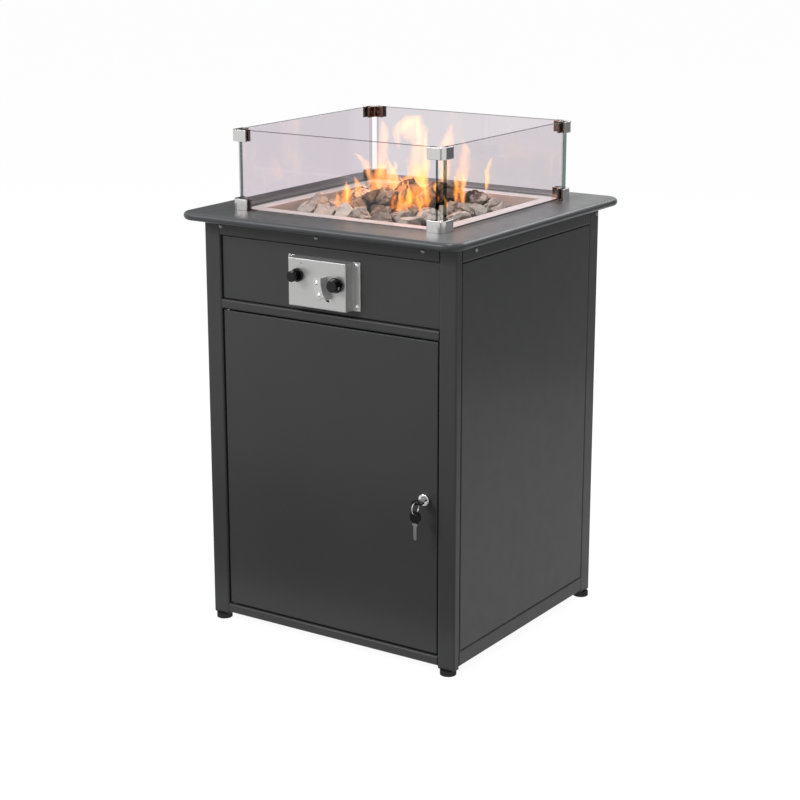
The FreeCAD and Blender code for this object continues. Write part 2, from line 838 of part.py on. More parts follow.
def make_burner():
    """The burner, its mixing tube, and the rigid gas tube that ends in the injector."""
    axis_z = tray_floor + burner_lift
    bars = []
    for y in (-burner_spread, burner_spread):
        bars.append(rod(V(-burner_length / 2, y, axis_z), V(1, 0, 0), burner_tube_r,
                        burner_length))
    bars.append(rod(V(0, -burner_spread, axis_z), V(0, 1, 0), burner_tube_r,
                    2 * burner_spread))
    bars.append(rod(V(0, 0, tray_floor), UP, hub_r, burner_lift + burner_tube_r))
    burner = join(bars)
    ports = []
    for y in (-burner_spread, burner_spread):
        for i in range(port_count):
            x = (i - (port_count - 1) / 2) * port_pitch
            ports.append(rod(V(x, y, axis_z + burner_tube_r - port_depth), UP, port_r,
                             port_depth + 1))
    pieces["burner"] = cut_all(burner, ports)

    mixer_bottom = tray_floor - mixer_length
    mixer = rod(V(0, 0, mixer_bottom), UP, mixer_r, mixer_length)
    mixer = mixer.cut(rod(V(0, 0, mixer_bottom - 1), UP, mixer_bore, mixer_length + 2))
    hole_z = mixer_bottom + air_hole_up
    holes = [rod(V(-mixer_r - 1, 0, hole_z), V(1, 0, 0), air_hole_r, 2 * mixer_r + 2)]
    holes.append(rod(V(0, -mixer_r - 1, hole_z), V(0, 1, 0), air_hole_r, 2 * mixer_r + 2))
    pieces["mixing_tube"] = cut_all(mixer, holes)

    block_bottom = mixer_bottom - injector_height
    level = block_bottom + injector_height / 2
    block = rod(V(0, 0, block_bottom), UP, injector_r, injector_height)
    nozzle = rod(V(0, 0, mixer_bottom), UP, nozzle_r, nozzle_length)
    stub = rod(V(0, 0, level), V(0, -1, 0), injector_stub_r, injector_stub)
    injector = join([block, nozzle, stub])

    start = V(valve_x, control_face + valve_behind + valve_block[1] + valve_outlet, valve_z)
    end = V(0, -injector_stub, level)
    route = [start, start + V(0, gas_run_out, 0), end - V(0, gas_run_in, 0), end]
    wire = smooth_wire(route)
    ring = Part.Wire(Part.makeCircle(gas_tube_r, start, V(0, 1, 0)))
    tube = wire.makePipeShell([ring], True, False)
    print("gas tube volume over section times length",
          round(tube.Volume / (math.pi * gas_tube_r ** 2 * wire.Length), 4))
    pieces["gas_tube"] = join([tube, injector])


def make_tray():
    """The stainless burner tray that hangs in the tabletop, and the spark electrode in it."""
    outer = tray_half + tray_sheet
    rim = box(-tray_flange, tray_flange, -tray_flange, tray_flange,
              table_top, table_top + tray_sheet)
    shell = rounded(box(-outer, outer, -outer, outer, tray_floor - tray_sheet,
                        table_top + tray_sheet), 2, tray_corner + tray_sheet)
    inside = rounded(box(-tray_half, tray_half, -tray_half, tray_half, tray_floor,
                         table_top + tray_sheet + 1), 2, tray_corner)
    holes = [rod(V(0, 0, 0), UP, mixer_r, table_top)]
    holes.append(rod(V(0, electrode_y, 0), UP, electrode_r, table_top))
    drain = tray_half - drain_from_wall
    for sx in (-1, 1):
        for sy in (-1, 1):
            holes.append(rod(V(sx * drain, sy * drain, 0), UP, drain_r, table_top))
    pieces["burner_tray"] = cut_all(join([rim, shell]), [inside] + holes)

    low = V(0, electrode_y, tray_floor - electrode_below)
    seat = V(0, electrode_y, tray_floor)
    ceramic = rod(low, UP, electrode_r, electrode_below + electrode_above)
    collar = rod(seat, UP, electrode_collar_r, electrode_collar)
    tip = rod(seat + UP * electrode_above, UP, electrode_tip_r, electrode_tip)
    pieces["spark_electrode"] = join([ceramic, collar, tip])


def make_tabletop():
    """The folded tabletop: a rolled edge with a return under it, and a square cut-out."""
    half = table_side / 2
    low = table_top - table_edge
    slab = rounded(box(-half, half, -half, half, low, table_top), 2, table_corner)
    ring = [e for e in slab.Edges if abs(e.BoundBox.ZLength) < 1e-6]
    slab = slab.makeFillet(table_edge_round, ring)
    inner = half - table_sheet
    hollow = rounded(box(-inner, inner, -inner, inner, low + table_sheet, frame_top), 2,
                     table_corner - table_sheet)
    ring = [e for e in hollow.Edges if abs(e.BoundBox.ZLength) < 1e-6]
    hollow = hollow.makeFillet(table_edge_round - table_sheet, ring)
    lip = half - table_return
    mouth = rounded(box(-lip, lip, -lip, lip, low - 1, frame_top - table_sheet), 2,
                    table_corner - table_return)
    top = slab.cut([hollow, mouth])
    opening = tray_half + tray_sheet + cutout_ease
    collar = box(-opening - table_sheet, opening + table_sheet, -opening - table_sheet,
                 opening + table_sheet, frame_top - cutout_lip, frame_top)
    top = join([top, collar])
    pieces["tabletop"] = top.cut(box(-opening, opening, -opening, opening,
                                     low - 5, table_top + 1))


def heap_height(x, y):
    """How high the stones are heaped over a place on the bed."""
    share = min(1.0, math.hypot(x, y) / heap_radius)
    return heap_edge + heap_rise * (1 - share) ** heap_curve


def stone_centres(draw):
    """Jittered centres in layers over the bed: those inside the heap, and those around it."""
    inside = []
    around = []
    for layer in range(layers):
        for i in range(-1, stones_across + 1):
            for j in range(-1, stones_across + 1):
                x = (i - (stones_across - 1) / 2) * stone_pitch
                y = (j - (stones_across - 1) / 2) * stone_pitch
                x += draw.uniform(-stone_jitter, stone_jitter) + (layer % 2) * layer_shift[0]
                y += draw.uniform(-stone_jitter, stone_jitter) + (layer % 2) * layer_shift[1]
                z = first_layer + layer * layer_pitch
                z += draw.uniform(-layer_jitter, layer_jitter)
                outer = i in (-1, stones_across) or j in (-1, stones_across)
                if outer or math.hypot(x, y) > heap_reach:
                    around.append(V(x, y, bed_top + z))
                elif layer == 0 or z < heap_height(x, y):
                    inside.append((layer, V(x, y, bed_top + z)))
                else:
                    around.append(V(x, y, bed_top + z))
    return inside, around


def trimmed(rings, normal, reach):
    """A convex solid, given as rings of corners, less all that lies beyond a plane."""
    if max(corner.dot(normal) for ring in rings for corner in ring) < reach + stone_sliver:
        return rings
    kept = []
    rim = []
    for ring in rings:
        corners = []
        for here, after in zip(ring, ring[1:] + ring[:1]):
            low = here.dot(normal) - reach
            high = after.dot(normal) - reach
            if low <= 0:
                corners.append(here)
            if low * high < 0:
                spot = here + (after - here) * (low / (low - high))
                corners.append(spot)
                if all((spot - other).Length > 0.001 for other in rim):
                    rim.append(spot)
        if len(corners) > 2:
            kept.append(corners)
    if len(rim) > 2:
        middle = V(0, 0, 0)
        for spot in rim:
            middle += spot * (1 / len(rim))
        across = (rim[0] - middle).normalize()
        along = normal.cross(across)
        rim.sort(key=lambda spot: math.atan2((spot - middle).dot(along),
                                             (spot - middle).dot(across)))
        kept.append(rim)
    return kept


def block_rings(half, low, high):
    """The six faces of an upright square block as rings of corners."""
    def side(turn):
        around = FreeCAD.Rotation(UP, turn)
        return [around.multVec(V(half, y, z)) for y, z in
                ((-half, low), (half, low), (half, high), (-half, high))]
    rings = [side(turn) for turn in (0, 90, 180, 270)]
    rings.append([V(half, half, high), V(-half, half, high), V(-half, -half, high),
                  V(half, -half, high)])
    rings.append([V(half, -half, low), V(-half, -half, low), V(-half, half, low),
                  V(half, half, low)])
    return rings


def stone(centre, others, block):
    """A broken stone: the room nearer to its centre than to any other, less a gap."""
    rings = block
    near = sorted(others, key=lambda other: (other - centre).Length)[:neighbour_count]
    for other in near:
        away = other - centre
        reach = away.Length / 2 - stone_gap / 2
        away.normalize()
        rings = trimmed(rings, away, centre.dot(away) + reach)
    faces = [Part.Face(Part.makePolygon(ring + ring[:1])) for ring in rings]
    shell = Part.makeShell(faces)
    shell.sewShape()
    return Part.makeSolid(shell)


def make_stones():
    """The packed bed that hides the burner, and the broken stones heaped on it."""
    half = tray_half - bed_ease
    bed = rounded(box(-half, half, -half, half, tray_floor, bed_top), 2,
                  tray_corner - bed_ease)
    axis_z = tray_floor + burner_lift
    room = burner_tube_r + burner_room
    high = axis_z + room
    channels = []
    for y in (-burner_spread, burner_spread):
        channels.append(box(-burner_length / 2 - burner_room, burner_length / 2 + burner_room,
                            y - room, y + room, tray_floor - 1, high))
    channels.append(box(-room, room, -burner_spread, burner_spread, tray_floor - 1, high))
    channels.append(rod(V(0, 0, tray_floor - 1), UP, hub_r + burner_room,
                        high - tray_floor + 1))
    channels.append(rod(V(0, electrode_y, tray_floor - 1), UP,
                        electrode_collar_r + burner_room, bed_thick - electrode_room + 1))
    pieces["stone_bed"] = cut_all(bed, channels)

    draw = random.Random(stone_seed)
    room = tray_half - stone_wall_gap
    inside, around = stone_centres(draw)
    centres = [spot for layer, spot in inside] + around
    block = block_rings(room, bed_top, guard_top)
    groups = {"lower_stones": [], "mound_stones": []}
    for layer, centre in inside:
        others = [spot for spot in centres if (spot - centre).Length > 0.01]
        shape = stone(centre, others, block)
        groups["mound_stones" if layer else "lower_stones"].append(shape)
    for name, shapes in groups.items():
        pieces[name] = Part.makeCompound(shapes)


def make_door():
    """The door pan, its pivot pins and the bushes that they turn in."""
    skin = pan(door_x1 - door_x0, door_z1 - door_z0, door_return, sheet, panel_bend)
    skin = moved(skin, 0, door_face, door_z0)
    holes = [rod(V(lock_x, door_face - 1, lock_z), V(0, 1, 0), lock_body_r + lock_ease,
                 sheet + 2)]
    pin_holes = rod(V(pivot_x, pivot_y, door_z0 - 1), UP, pivot_r, door_z1 - door_z0 + 2)
    pieces["door_panel"] = cut_all(skin, holes + [pin_holes])

    top_pin = rod(V(pivot_x, pivot_y, door_z1 - pivot_length / 2), UP, pivot_r,
                  door_gap + bush_body - pin_end_gap + pivot_length / 2)
    bottom_pin = rod(V(pivot_x, pivot_y, door_z0 + pivot_length / 2), V(0, 0, -1), pivot_r,
                     door_gap + bush_body - pin_end_gap + pivot_length / 2)
    pieces["door_pins"] = Part.makeCompound([top_pin, bottom_pin])

    bushes = []
    for level, way in ((middle_rail_z, 1), (rail_bottom + front_sill, -1)):
        seat = V(pivot_x, pivot_y, level)
        sleeve = rod(seat, UP * way, bush_r, bush_body)
        collar = rod(seat, UP * -way, bush_flange_r, bush_flange)
        bore = rod(seat - UP * (way * 2), UP * way, pivot_r + running, bush_body + 4)
        bushes.append(join([sleeve, collar]).cut(bore))
    pieces["door_bushes"] = Part.makeCompound(bushes)


def key_outline(bow_from, shank_to, width, tip_cut):
    """A flat key lying on z = 0 along +Y: a bow with a hole, a neck and a blade."""
    bow_wide, bow_long = key_bow
    bow = box(-bow_wide / 2, bow_wide / 2, bow_from, bow_from + bow_long, 0, key_sheet)
    bow = bow.makeChamfer(key_bow_corner, edges_along(bow, 2))
    neck = box(-key_neck_width / 2, key_neck_width / 2, bow_from + bow_long - 1,
               bow_from + bow_long + key_neck, 0, key_sheet)
    blade = box(-width / 2, width / 2, bow_from + bow_long + key_neck - 1, shank_to,
                key_sheet * (1 - key_blade_thin) / 2, key_sheet * (1 + key_blade_thin) / 2)
    if tip_cut:
        tip = [e for e in edges_along(blade, 2) if e.Vertexes[0].Y > shank_to - 1]
        blade = blade.makeChamfer(width * key_tip_share, tip)
    return bow, neck, blade


def make_lock():
    """The cam lock in the door, with its key, the key ring and the spare key."""
    y_axis = V(0, 1, 0)
    head_front = door_face - lock_head
    head = rod(V(lock_x, head_front, lock_z), y_axis, lock_head_r, lock_head)
    edge = [e for e in head.Edges if len(e.Vertexes) == 1
            and abs(e.Vertexes[0].Y - head_front) < 1e-6]
    head = head.makeFillet(lock_head_round, edge)
    barrel = rod(V(lock_x, door_face, lock_z), y_axis, lock_body_r, lock_body - lock_head)
    bore = rod(V(lock_x, head_front - 1, lock_z), y_axis, core_r + running, lock_body + 2)
    pieces["lock_barrel"] = join([head, barrel]).cut(bore)

    across = lock_nut_across / math.sqrt(3)
    corners = [V(across * math.cos(math.radians(60 * i)), across * math.sin(math.radians(60 * i)),
                 0) for i in range(7)]
    nut = Part.Face(Part.makePolygon(corners)).extrude(V(0, 0, lock_nut))
    nut = nut.cut(rod(V(0, 0, -1), UP, lock_body_r, lock_nut + 2))
    pieces["lock_nut"] = facing(nut, lock_x, door_face + sheet + lock_nut, lock_z)

    core_back = head_front + lock_body
    core = rod(V(lock_x, head_front, lock_z), y_axis, core_r, lock_body)
    slot = box(lock_x - key_blade_width / 2 - key_slot_ease,
               lock_x + key_blade_width / 2 + key_slot_ease,
               head_front - 1, head_front + key_slot_depth, lock_z - key_sheet / 2,
               lock_z + key_sheet / 2)
    square = box(lock_x - cam_square / 2, lock_x + cam_square / 2,
                 core_back, core_back + cam_sheet,
                 lock_z - cam_square / 2, lock_z + cam_square / 2)
    staked = rod(V(lock_x, core_back + cam_sheet, lock_z), y_axis, staked_r, staked_head)
    pieces["lock_core"] = join([core.cut(slot), square, staked])

    cam = box(lock_x - cam_width / 2, lock_x + cam_width / 2, core_back,
              core_back + cam_sheet, lock_z - cam_length + cam_width / 2,
              lock_z + cam_width / 2)
    cam = rounded(cam, 1, (cam_width - cam_end_flat) / 2)
    pieces["lock_cam"] = cam.cut(square)

    reach = key_neck + key_bow[1]
    bow, neck, blade = key_outline(-reach, key_slot_depth - key_end_gap, key_blade_width, False)
    bow_end = -reach
    eye = box(-key_hole[0] / 2, key_hole[0] / 2, bow_end + key_strip,
              bow_end + key_strip + key_hole[1], -1, key_sheet + 1)
    eye = rounded(eye, 2, key_hole_round)
    key = join([bow, neck, blade]).cut(eye)
    pieces["lock_key"] = moved(key, lock_x, head_front, lock_z - key_sheet / 2)

    strip_y = head_front + bow_end + key_strip / 2
    top_z = lock_z + key_sheet / 2
    inner_r = ring_r - ring_wire
    drop = math.sqrt(inner_r ** 2 - (key_strip / 2) ** 2)
    ring_z = top_z + ring_play - drop
    ring = Part.makeTorus(ring_r, ring_wire, V(lock_x, strip_y, ring_z), V(1, 0, 0))
    pieces["key_ring"] = ring

    wire_z = ring_z - ring_r
    hole_z = wire_z - (spare_hole_r - ring_wire - ring_play)
    spare_tip = key_bow[1] + key_neck - spare_key_above_hole + key_blade
    bow, neck, blade = key_outline(-spare_key_above_hole, spare_tip,
                                   key_blade_width - spare_key_narrower, True)
    spare = join([bow, neck, blade])
    spare = spare.cut(rod(V(0, 0, -1), UP, spare_hole_r, key_sheet + 2))
    spare.rotate(V(0, 0, 0), V(1, 0, 0), -90)
    spare.translate(V(lock_x, strip_y - key_sheet / 2, hole_z))
    pieces["spare_key"] = spare


def make_guard():
    """Four glass panes in eight corner clips, with liners and clamping screws."""
    pane = box(-pane_half, pane_half, -pane_outer, -pane_inner, pane_bottom, guard_top)
    pane = pane.makeChamfer(glass_polish, pane.Edges)
    for name, degrees in (("front", 0), ("right", 90), ("rear", 180), ("left", 270)):
        pieces["glass_" + name] = turned(pane, degrees)

    lower = corner_clip(table_top, table_top + clip_height, pane_bottom)
    upper = corner_clip(guard_top - clip_height, guard_top, guard_top - clip_height)
    liners = []
    screws = []
    for z0, z1 in ((pane_bottom, table_top + clip_height),
                   (guard_top - clip_height, guard_top)):
        for leg in (0, 1):
            liner_piece, screw = clip_inside(z0, z1)
            if leg:
                liner_piece = other_leg(liner_piece)
                screw = other_leg(screw)
            for degrees in (0, 90, 180, 270):
                liners.append(turned(liner_piece, degrees))
                screws.append(turned(screw, degrees))
    clips = [turned(clip, a) for clip in (lower, upper) for a in (0, 90, 180, 270)]
    pieces["corner_clips"] = Part.makeCompound(clips)
    pieces["clip_liners"] = Part.makeCompound(liners)
    pieces["clip_screws"] = Part.makeCompound(screws)


def other_leg(shape):
    """The same piece on the other leg of the front right clip."""
    return shape.mirror(V(0, 0, 0), V(1, 1, 0))


def clip_slot(z0, z1):
    """The room for one pane end and its liner in the front right clip."""
    return box(guard_half - clip_leg - 1, pane_half + liner, -pane_outer - liner,
               -pane_inner + liner, z0, z1)


def screw_seat(z0, z1):
    """Where the clamping screw stands on the inner wall of the front leg."""
    return V(guard_half - clip_leg + clip_screw_from_end, -guard_half + clip_thick,
             (z0 + z1) / 2)


def corner_clip(z0, z1, slot_z0):
    """One clip, at the front right corner: an L block with two slots for the glass."""
    near = guard_half - clip_leg
    inner = guard_half - clip_thick
    block = box(near, guard_half, -guard_half, -near, z0, z1)
    block = block.cut(box(near - 1, inner, -inner, -near + 1, z0 - 1, z1 + 1))
    outside = [e for e in edges_along(block, 2)
               if abs(e.Vertexes[0].X - guard_half) < 1e-6
               and abs(e.Vertexes[0].Y + guard_half) < 1e-6]
    block = block.makeFillet(clip_round, outside)
    inside = [e for e in edges_along(block, 2)
              if abs(e.Vertexes[0].X - inner) < 1e-6 and abs(e.Vertexes[0].Y + inner) < 1e-6]
    block = block.makeFillet(clip_inner_round, inside)
    slot = clip_slot(slot_z0, z1 + 1)
    seat = screw_seat(slot_z0, z1)
    hole = rod(seat + V(0, 1, 0), V(0, -1, 0), clip_screw_r + screw_ease, clip_wall + 1.5)
    return block.cut([slot, other_leg(slot), hole, other_leg(hole)])


def clip_inside(z0, z1):
    """The U liner round one pane end, and the grub screw that clamps it."""
    wrap = box(guard_half - clip_leg, pane_half + liner, -pane_outer - liner,
               -pane_inner + liner, z0, z1)
    wrap = wrap.cut(box(guard_half - clip_leg - 1, pane_half, -pane_outer, -pane_inner,
                        z0 - 1, z1 + 1))
    seat = screw_seat(z0, z1)
    screw = rod(seat, V(0, -1, 0), clip_screw_r, clip_wall)
    slot = box(seat.x - clip_screw_r, seat.x + clip_screw_r, seat.y - clip_screw_slot_depth,
               seat.y + 1, seat.z - clip_screw_slot / 2, seat.z + clip_screw_slot / 2)
    return wrap, screw.cut(slot)


def save_pieces():
    """One STEP file for each named piece."""
    os.makedirs("parts", exist_ok=True)
    for name, shape in pieces.items():
        if not shape.isValid() or not shape.Solids:
            print("check this piece:", name, shape.isValid(), len(shape.Solids))
        shape.exportStep("parts/" + name + ".step")
    print(len(pieces), "nodes,", sum(len(s.Solids) for s in pieces.values()), "solids")


make_frame()
make_brackets()
make_feet()
make_panels()
make_control_box()
make_valve()
make_burner()
make_tray()
make_tabletop()
make_stones()
make_door()
make_lock()
make_guard()
save_pieces()
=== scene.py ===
# %% [markdown]
# This notebook dresses a gas fire pit table. Its steel frame, panels, door, burner tray and
# glass wind guard come in as finished CAD pieces, so the work here is the finishes, the
# broken stones, the flames and the studio. Every piece rides on one of the table's moving
# bodies, so the door still opens with everything that belongs to it.

import math
import random

import bmesh
import bpy
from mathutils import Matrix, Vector, noise


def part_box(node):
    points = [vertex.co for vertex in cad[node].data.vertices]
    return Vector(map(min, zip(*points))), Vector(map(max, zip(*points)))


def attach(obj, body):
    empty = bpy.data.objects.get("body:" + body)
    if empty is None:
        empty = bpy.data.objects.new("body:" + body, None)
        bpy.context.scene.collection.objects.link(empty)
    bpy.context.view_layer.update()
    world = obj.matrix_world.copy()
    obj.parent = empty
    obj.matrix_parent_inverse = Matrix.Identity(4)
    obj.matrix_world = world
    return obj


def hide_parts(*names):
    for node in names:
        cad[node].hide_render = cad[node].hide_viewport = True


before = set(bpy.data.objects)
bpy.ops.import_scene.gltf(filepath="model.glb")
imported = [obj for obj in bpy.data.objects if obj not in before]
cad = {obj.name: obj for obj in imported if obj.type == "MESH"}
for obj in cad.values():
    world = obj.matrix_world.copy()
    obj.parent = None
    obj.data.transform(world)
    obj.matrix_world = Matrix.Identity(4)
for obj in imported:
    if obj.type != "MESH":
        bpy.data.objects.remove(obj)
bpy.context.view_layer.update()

# %% [markdown]
# The camera comes first, because everything is judged through it. The table is seen from its
# front right corner and a little from above. A long lens at three metres keeps the sides
# nearly parallel, as in a product picture.

# %% Camera
camera_place = Vector((1.63733, -2.48408, 1.15854))
camera_heading = 0.58531
camera_tilt = -0.26622
frame_width = 800
lens_in_pixels = 1932.10


def add_object(name, data):
    """A new object, linked into the scene."""
    thing = bpy.data.objects.new(name, data)
    bpy.context.scene.collection.objects.link(thing)
    return thing


def add_camera():
    data = bpy.data.cameras.new("studio_camera")
    data.sensor_width = 36.0
    data.lens = lens_in_pixels / frame_width * data.sensor_width
    data.clip_start = 0.05
    data.clip_end = 60.0
    camera = add_object("studio_camera", data)
    camera.location = camera_place
    camera.rotation_euler = (math.pi / 2 + camera_tilt, 0, camera_heading)
    bpy.context.scene.camera = camera
    print("lens", round(data.lens, 1), "mm")


add_camera()

# %% [markdown]
# A white product picture needs a white surround that lights the object only softly. One
# world can do both. It is white to the camera, to mirrors and to glass, and dimmer as a
# light, because a light path node tells these kinds of ray apart. The helpers that add and
# fill nodes, calculate, blend shaders and make an empty material come back further down.

# %% White world
world_light = 0.32
world_tone = (0.97, 0.98, 1, 1)


def fill(node, values):
    """Sets inputs of a node, by name or number, to a value or to another node's output."""
    for name, value in values.items():
        if isinstance(value, bpy.types.NodeSocket):
            node.id_data.links.new(value, node.inputs[name])
        else:
            node.inputs[name].default_value = value


def add_node(tree, kind, values=None, **settings):
    """A new shader node with its settings made and some of its inputs filled."""
    node = tree.nodes.new("ShaderNode" + kind)
    for name, setting in settings.items():
        setattr(node, name, setting)
    fill(node, values or {})
    return node


def calc(tree, operation, first, second=0.0, clamp=False):
    """One step of arithmetic on numbers or on the sockets of a material."""
    return add_node(tree, "Math", {0: first, 1: second}, operation=operation,
                    use_clamp=clamp).outputs[0]


def mix_shaders(tree, out, share, first, second):
    """Two shaders blended by a share, as the surface."""
    mix = add_node(tree, "MixShader", {0: share, 1: first, 2: second})
    fill(out, {"Surface": mix.outputs[0]})


def empty_material(name):
    """A material with nothing but its output, with its tree and that output."""
    material = bpy.data.materials.new(name)
    material.use_nodes = True
    tree = material.node_tree
    tree.nodes.clear()
    return material, tree, add_node(tree, "OutputMaterial")


def light_path_share(tree):
    """1 for rays from the camera, from mirrors and through glass, and 0 for light."""
    rays = add_node(tree, "LightPath").outputs
    mirrored = calc(tree, "MAXIMUM", rays["Is Camera Ray"], rays["Is Glossy Ray"])
    return calc(tree, "MAXIMUM", mirrored, rays["Is Transmission Ray"])


def make_world():
    world = bpy.data.worlds.new("white_studio")
    bpy.context.scene.world = world
    world.use_nodes = True
    tree = world.node_tree
    tree.nodes.clear()
    out = add_node(tree, "OutputWorld")
    seen = add_node(tree, "Background", {"Color": (1, 1, 1, 1), "Strength": 1.0})
    light = add_node(tree, "Background", {"Color": world_tone, "Strength": world_light})
    mix_shaders(tree, out, light_path_share(tree), light.outputs[0], seen.outputs[0])


make_world()
print("world light", world_light)

# %% [markdown]
# Four large lamps shape the object: one high on the left for the front, a wide one on the
# right for the side panel, one above for the stones, which also puts the shadow under the
# tabletop, and one from behind for the edges of the glass. Each row gives a lamp's place,
# the point it looks at, its width and height and its watts. A ray may cross many clear
# faces here, of four panes and several flames, so that limit is raised.

# %% Lamps
clear_layers = 64
lamps = {
    "front_left_lamp": ((-1.6, -2.6, 2.2), (0, 0, 0.5), 1.1, 1.1, 54),
    "right_lamp": ((3.0, -0.3, 1.8), (0.1, 0, 0.5), 1.2, 1.8, 5),
    "top_lamp": ((0.1, -0.35, 3.1), (0, 0, 0.66), 0.6, 0.6, 38),
    "rear_lamp": ((0.6, 2.4, 2.4), (0, 0, 0.6), 1.4, 1.0, 26),
}


def soft_lamp(name, place, target, width, height, watts):
    data = bpy.data.lights.new(name, "AREA")
    data.shape = "RECTANGLE"
    data.size = width
    data.size_y = height
    data.energy = watts
    lamp = add_object(name, data)
    lamp.location = place
    aim = Vector(target) - Vector(place)
    lamp.rotation_euler = aim.to_track_quat("-Z", "Y").to_euler()


for name, settings in lamps.items():
    soft_lamp(name, *settings)
bpy.context.scene.cycles.transparent_max_bounces = clear_layers
bpy.context.scene.view_settings.view_transform = "Standard"
print(len(lamps), "lamps")

# %% [markdown]
# The floor is a wide pale plate. Most of what it shows is plain white of its own, and the
# rest is a matt surface that takes the table's shadow, so the feet stand on something. As a
# source of light it is much greyer, so that the underside of the tabletop's lip stays dark.

# %% Floor
floor_half = 30.0
floor_shadow_share = 0.14
floor_own_light = 1.1
floor_grey_seen = 0.86
floor_grey_as_light = 0.34


def make_floor():
    mesh = bpy.data.meshes.new("floor")
    corners = [(-floor_half, -floor_half, 0), (floor_half, -floor_half, 0),
               (floor_half, floor_half, 0), (-floor_half, floor_half, 0)]
    mesh.from_pydata(corners, [], [(0, 1, 2, 3)])
    floor = add_object("floor", mesh)
    material, tree, out = empty_material("white_floor")
    seen = light_path_share(tree)
    grey = add_node(tree, "MapRange", {"Value": seen, "To Min": floor_grey_as_light,
                                       "To Max": floor_grey_seen})
    matt = add_node(tree, "BsdfDiffuse", {"Color": grey.outputs[0]})
    own = add_node(tree, "Emission", {"Strength": floor_own_light})
    share = calc(tree, "MULTIPLY", seen, 1 - floor_shadow_share)
    mix_shaders(tree, out, share, matt.outputs[0], own.outputs[0])
    mesh.materials.append(material)
    print("floor", 2 * floor_half, "m wide")


make_floor()

# %% [markdown]
# Bare steel in an all white room looks like chalk, because it has nothing dark to mirror.
# Photographers stand dark flags round the object for this. Here one stands in front, for the
# rounded corners of the clips, one behind the table on the right, and one behind it on the
# left, which the left end of the tabletop mirrors. A fourth lies in front of the feet and
# keeps the underside of the tabletop's lip dark. Only mirror rays see them, so they take no
# light away and never show themselves.

# %% Dark flags
flag_grey = 0.10


def dark_flag(name, place, width, height, lying=False):
    """A card that stands and faces the table, or lies flat on the floor."""
    mesh = bpy.data.meshes.new(name)
    across, up = width / 2, height / 2
    mesh.from_pydata([(-across, 0, -up), (across, 0, -up), (across, 0, up), (-across, 0, up)],
                     [], [(0, 1, 2, 3)])
    card = add_object(name, mesh)
    card.location = place
    card.rotation_euler = ((math.pi / 2, 0, 0) if lying
                           else (0, 0, math.atan2(-place[0], place[1])))
    material, tree, out = empty_material(name)
    grey = add_node(tree, "Emission", {"Color": (flag_grey, flag_grey, flag_grey, 1)})
    fill(out, {"Surface": grey.outputs[0]})
    mesh.materials.append(material)
    card.visible_camera = False
    card.visible_diffuse = False
    card.visible_shadow = False
    card.visible_transmission = False


dark_flag("camera_flag", (0.8, -1.55, 0.45), 0.5, 0.9)
dark_flag("rear_right_flag", (1.1, 1.25, 0.45), 0.8, 0.9)
dark_flag("rear_left_flag", (-1.15, 0.75, 1.0), 0.9, 1.2)
dark_flag("floor_flag", (-0.2, -0.6, 0.004), 1.4, 0.5, lying=True)
print("four dark flags")

# %% [markdown]
# Every finish starts from the same small kit: a Principled shader, a noise that can be
# stretched along one axis, and a ramp that turns the noise into two colours or two
# roughnesses. Object coordinates are used throughout, so the grain keeps its real size and
# moves with the piece.

# %% Colour kit


def new_finish(name, values=None):
    """A material with one Principled shader, some of whose inputs are filled."""
    material = bpy.data.materials.new(name)
    material.use_nodes = True
    tree = material.node_tree
    shader = tree.nodes["Principled BSDF"]
    fill(shader, values or {})
    return material, tree, shader


def grain(tree, scale, detail=2.0, stretch=(1, 1, 1), rough=0.5):
    """A noise in object coordinates; a larger stretch makes finer grain along that axis."""
    where = add_node(tree, "TexCoord")
    mapping = add_node(tree, "Mapping", {"Vector": where.outputs["Object"], "Scale": stretch})
    texture = add_node(tree, "TexNoise", {"Vector": mapping.outputs[0], "Scale": scale,
                                          "Detail": detail, "Roughness": rough})
    return texture.outputs["Fac"]


def two_colours(tree, share, dark, light, low=0.3, high=0.7):
    """A colour between two colours as a share goes from low to high."""
    ramp = add_node(tree, "ValToRGB", {"Fac": share})
    for stop, place, colour in zip(ramp.color_ramp.elements, (low, high), (dark, light)):
        stop.position = place
        stop.color = (*colour, 1)
    return ramp.outputs["Color"]


def blend_colours(tree, share, first, second):
    """A mix of two colour sockets or colours."""
    first, second = ((*colour, 1) if isinstance(colour, tuple) else colour
                     for colour in (first, second))
    return add_node(tree, "Mix", {"Factor": share, 6: first, 7: second},
                    data_type="RGBA").outputs[2]


def between(tree, share, low, high, from_low=0.3, from_high=0.7):
    """A number between two values as a share goes between its own two."""
    return add_node(tree, "MapRange", {"Value": share, "From Min": from_low,
                                       "From Max": from_high, "To Min": low,
                                       "To Max": high}).outputs[0]


def vary(tree, shader, share, colour, darkest, smoothest, roughest):
    """Drives both the tone and the roughness of a finish by one noise."""
    dark = [c * darkest for c in colour]
    fill(shader, {"Base Color": two_colours(tree, share, dark, colour),
                  "Roughness": between(tree, share, smoothest, roughest)})


print("colour kit ready")

# %% [markdown]
# Two more tools bend the way a surface faces the light. Folded sheet has rounded folds, and
# a rounded normal at an edge catches the thin line of light that such a fold shows. A bump
# of a real depth gives ripple, scratches and pebble that are too fine to be meshed.

# %% Relief kit
edge_samples = 6


def soft_edges(tree, radius_mm):
    """Normals that turn round at the edges of folded sheet, so that the edges catch light."""
    return add_node(tree, "Bevel", {"Radius": radius_mm / 1000},
                    samples=edge_samples).outputs[0]


def relief(tree, shader, height, depth_mm, before=None):
    """Fine unevenness of a real depth."""
    bump = add_node(tree, "Bump", {"Strength": 1.0, "Distance": depth_mm / 1000,
                                   "Height": height})
    if before is not None:
        fill(bump, {"Normal": before})
    fill(shader, {"Normal": bump.outputs[0]})
    return bump.outputs[0]


print("edges are sampled", edge_samples, "times")

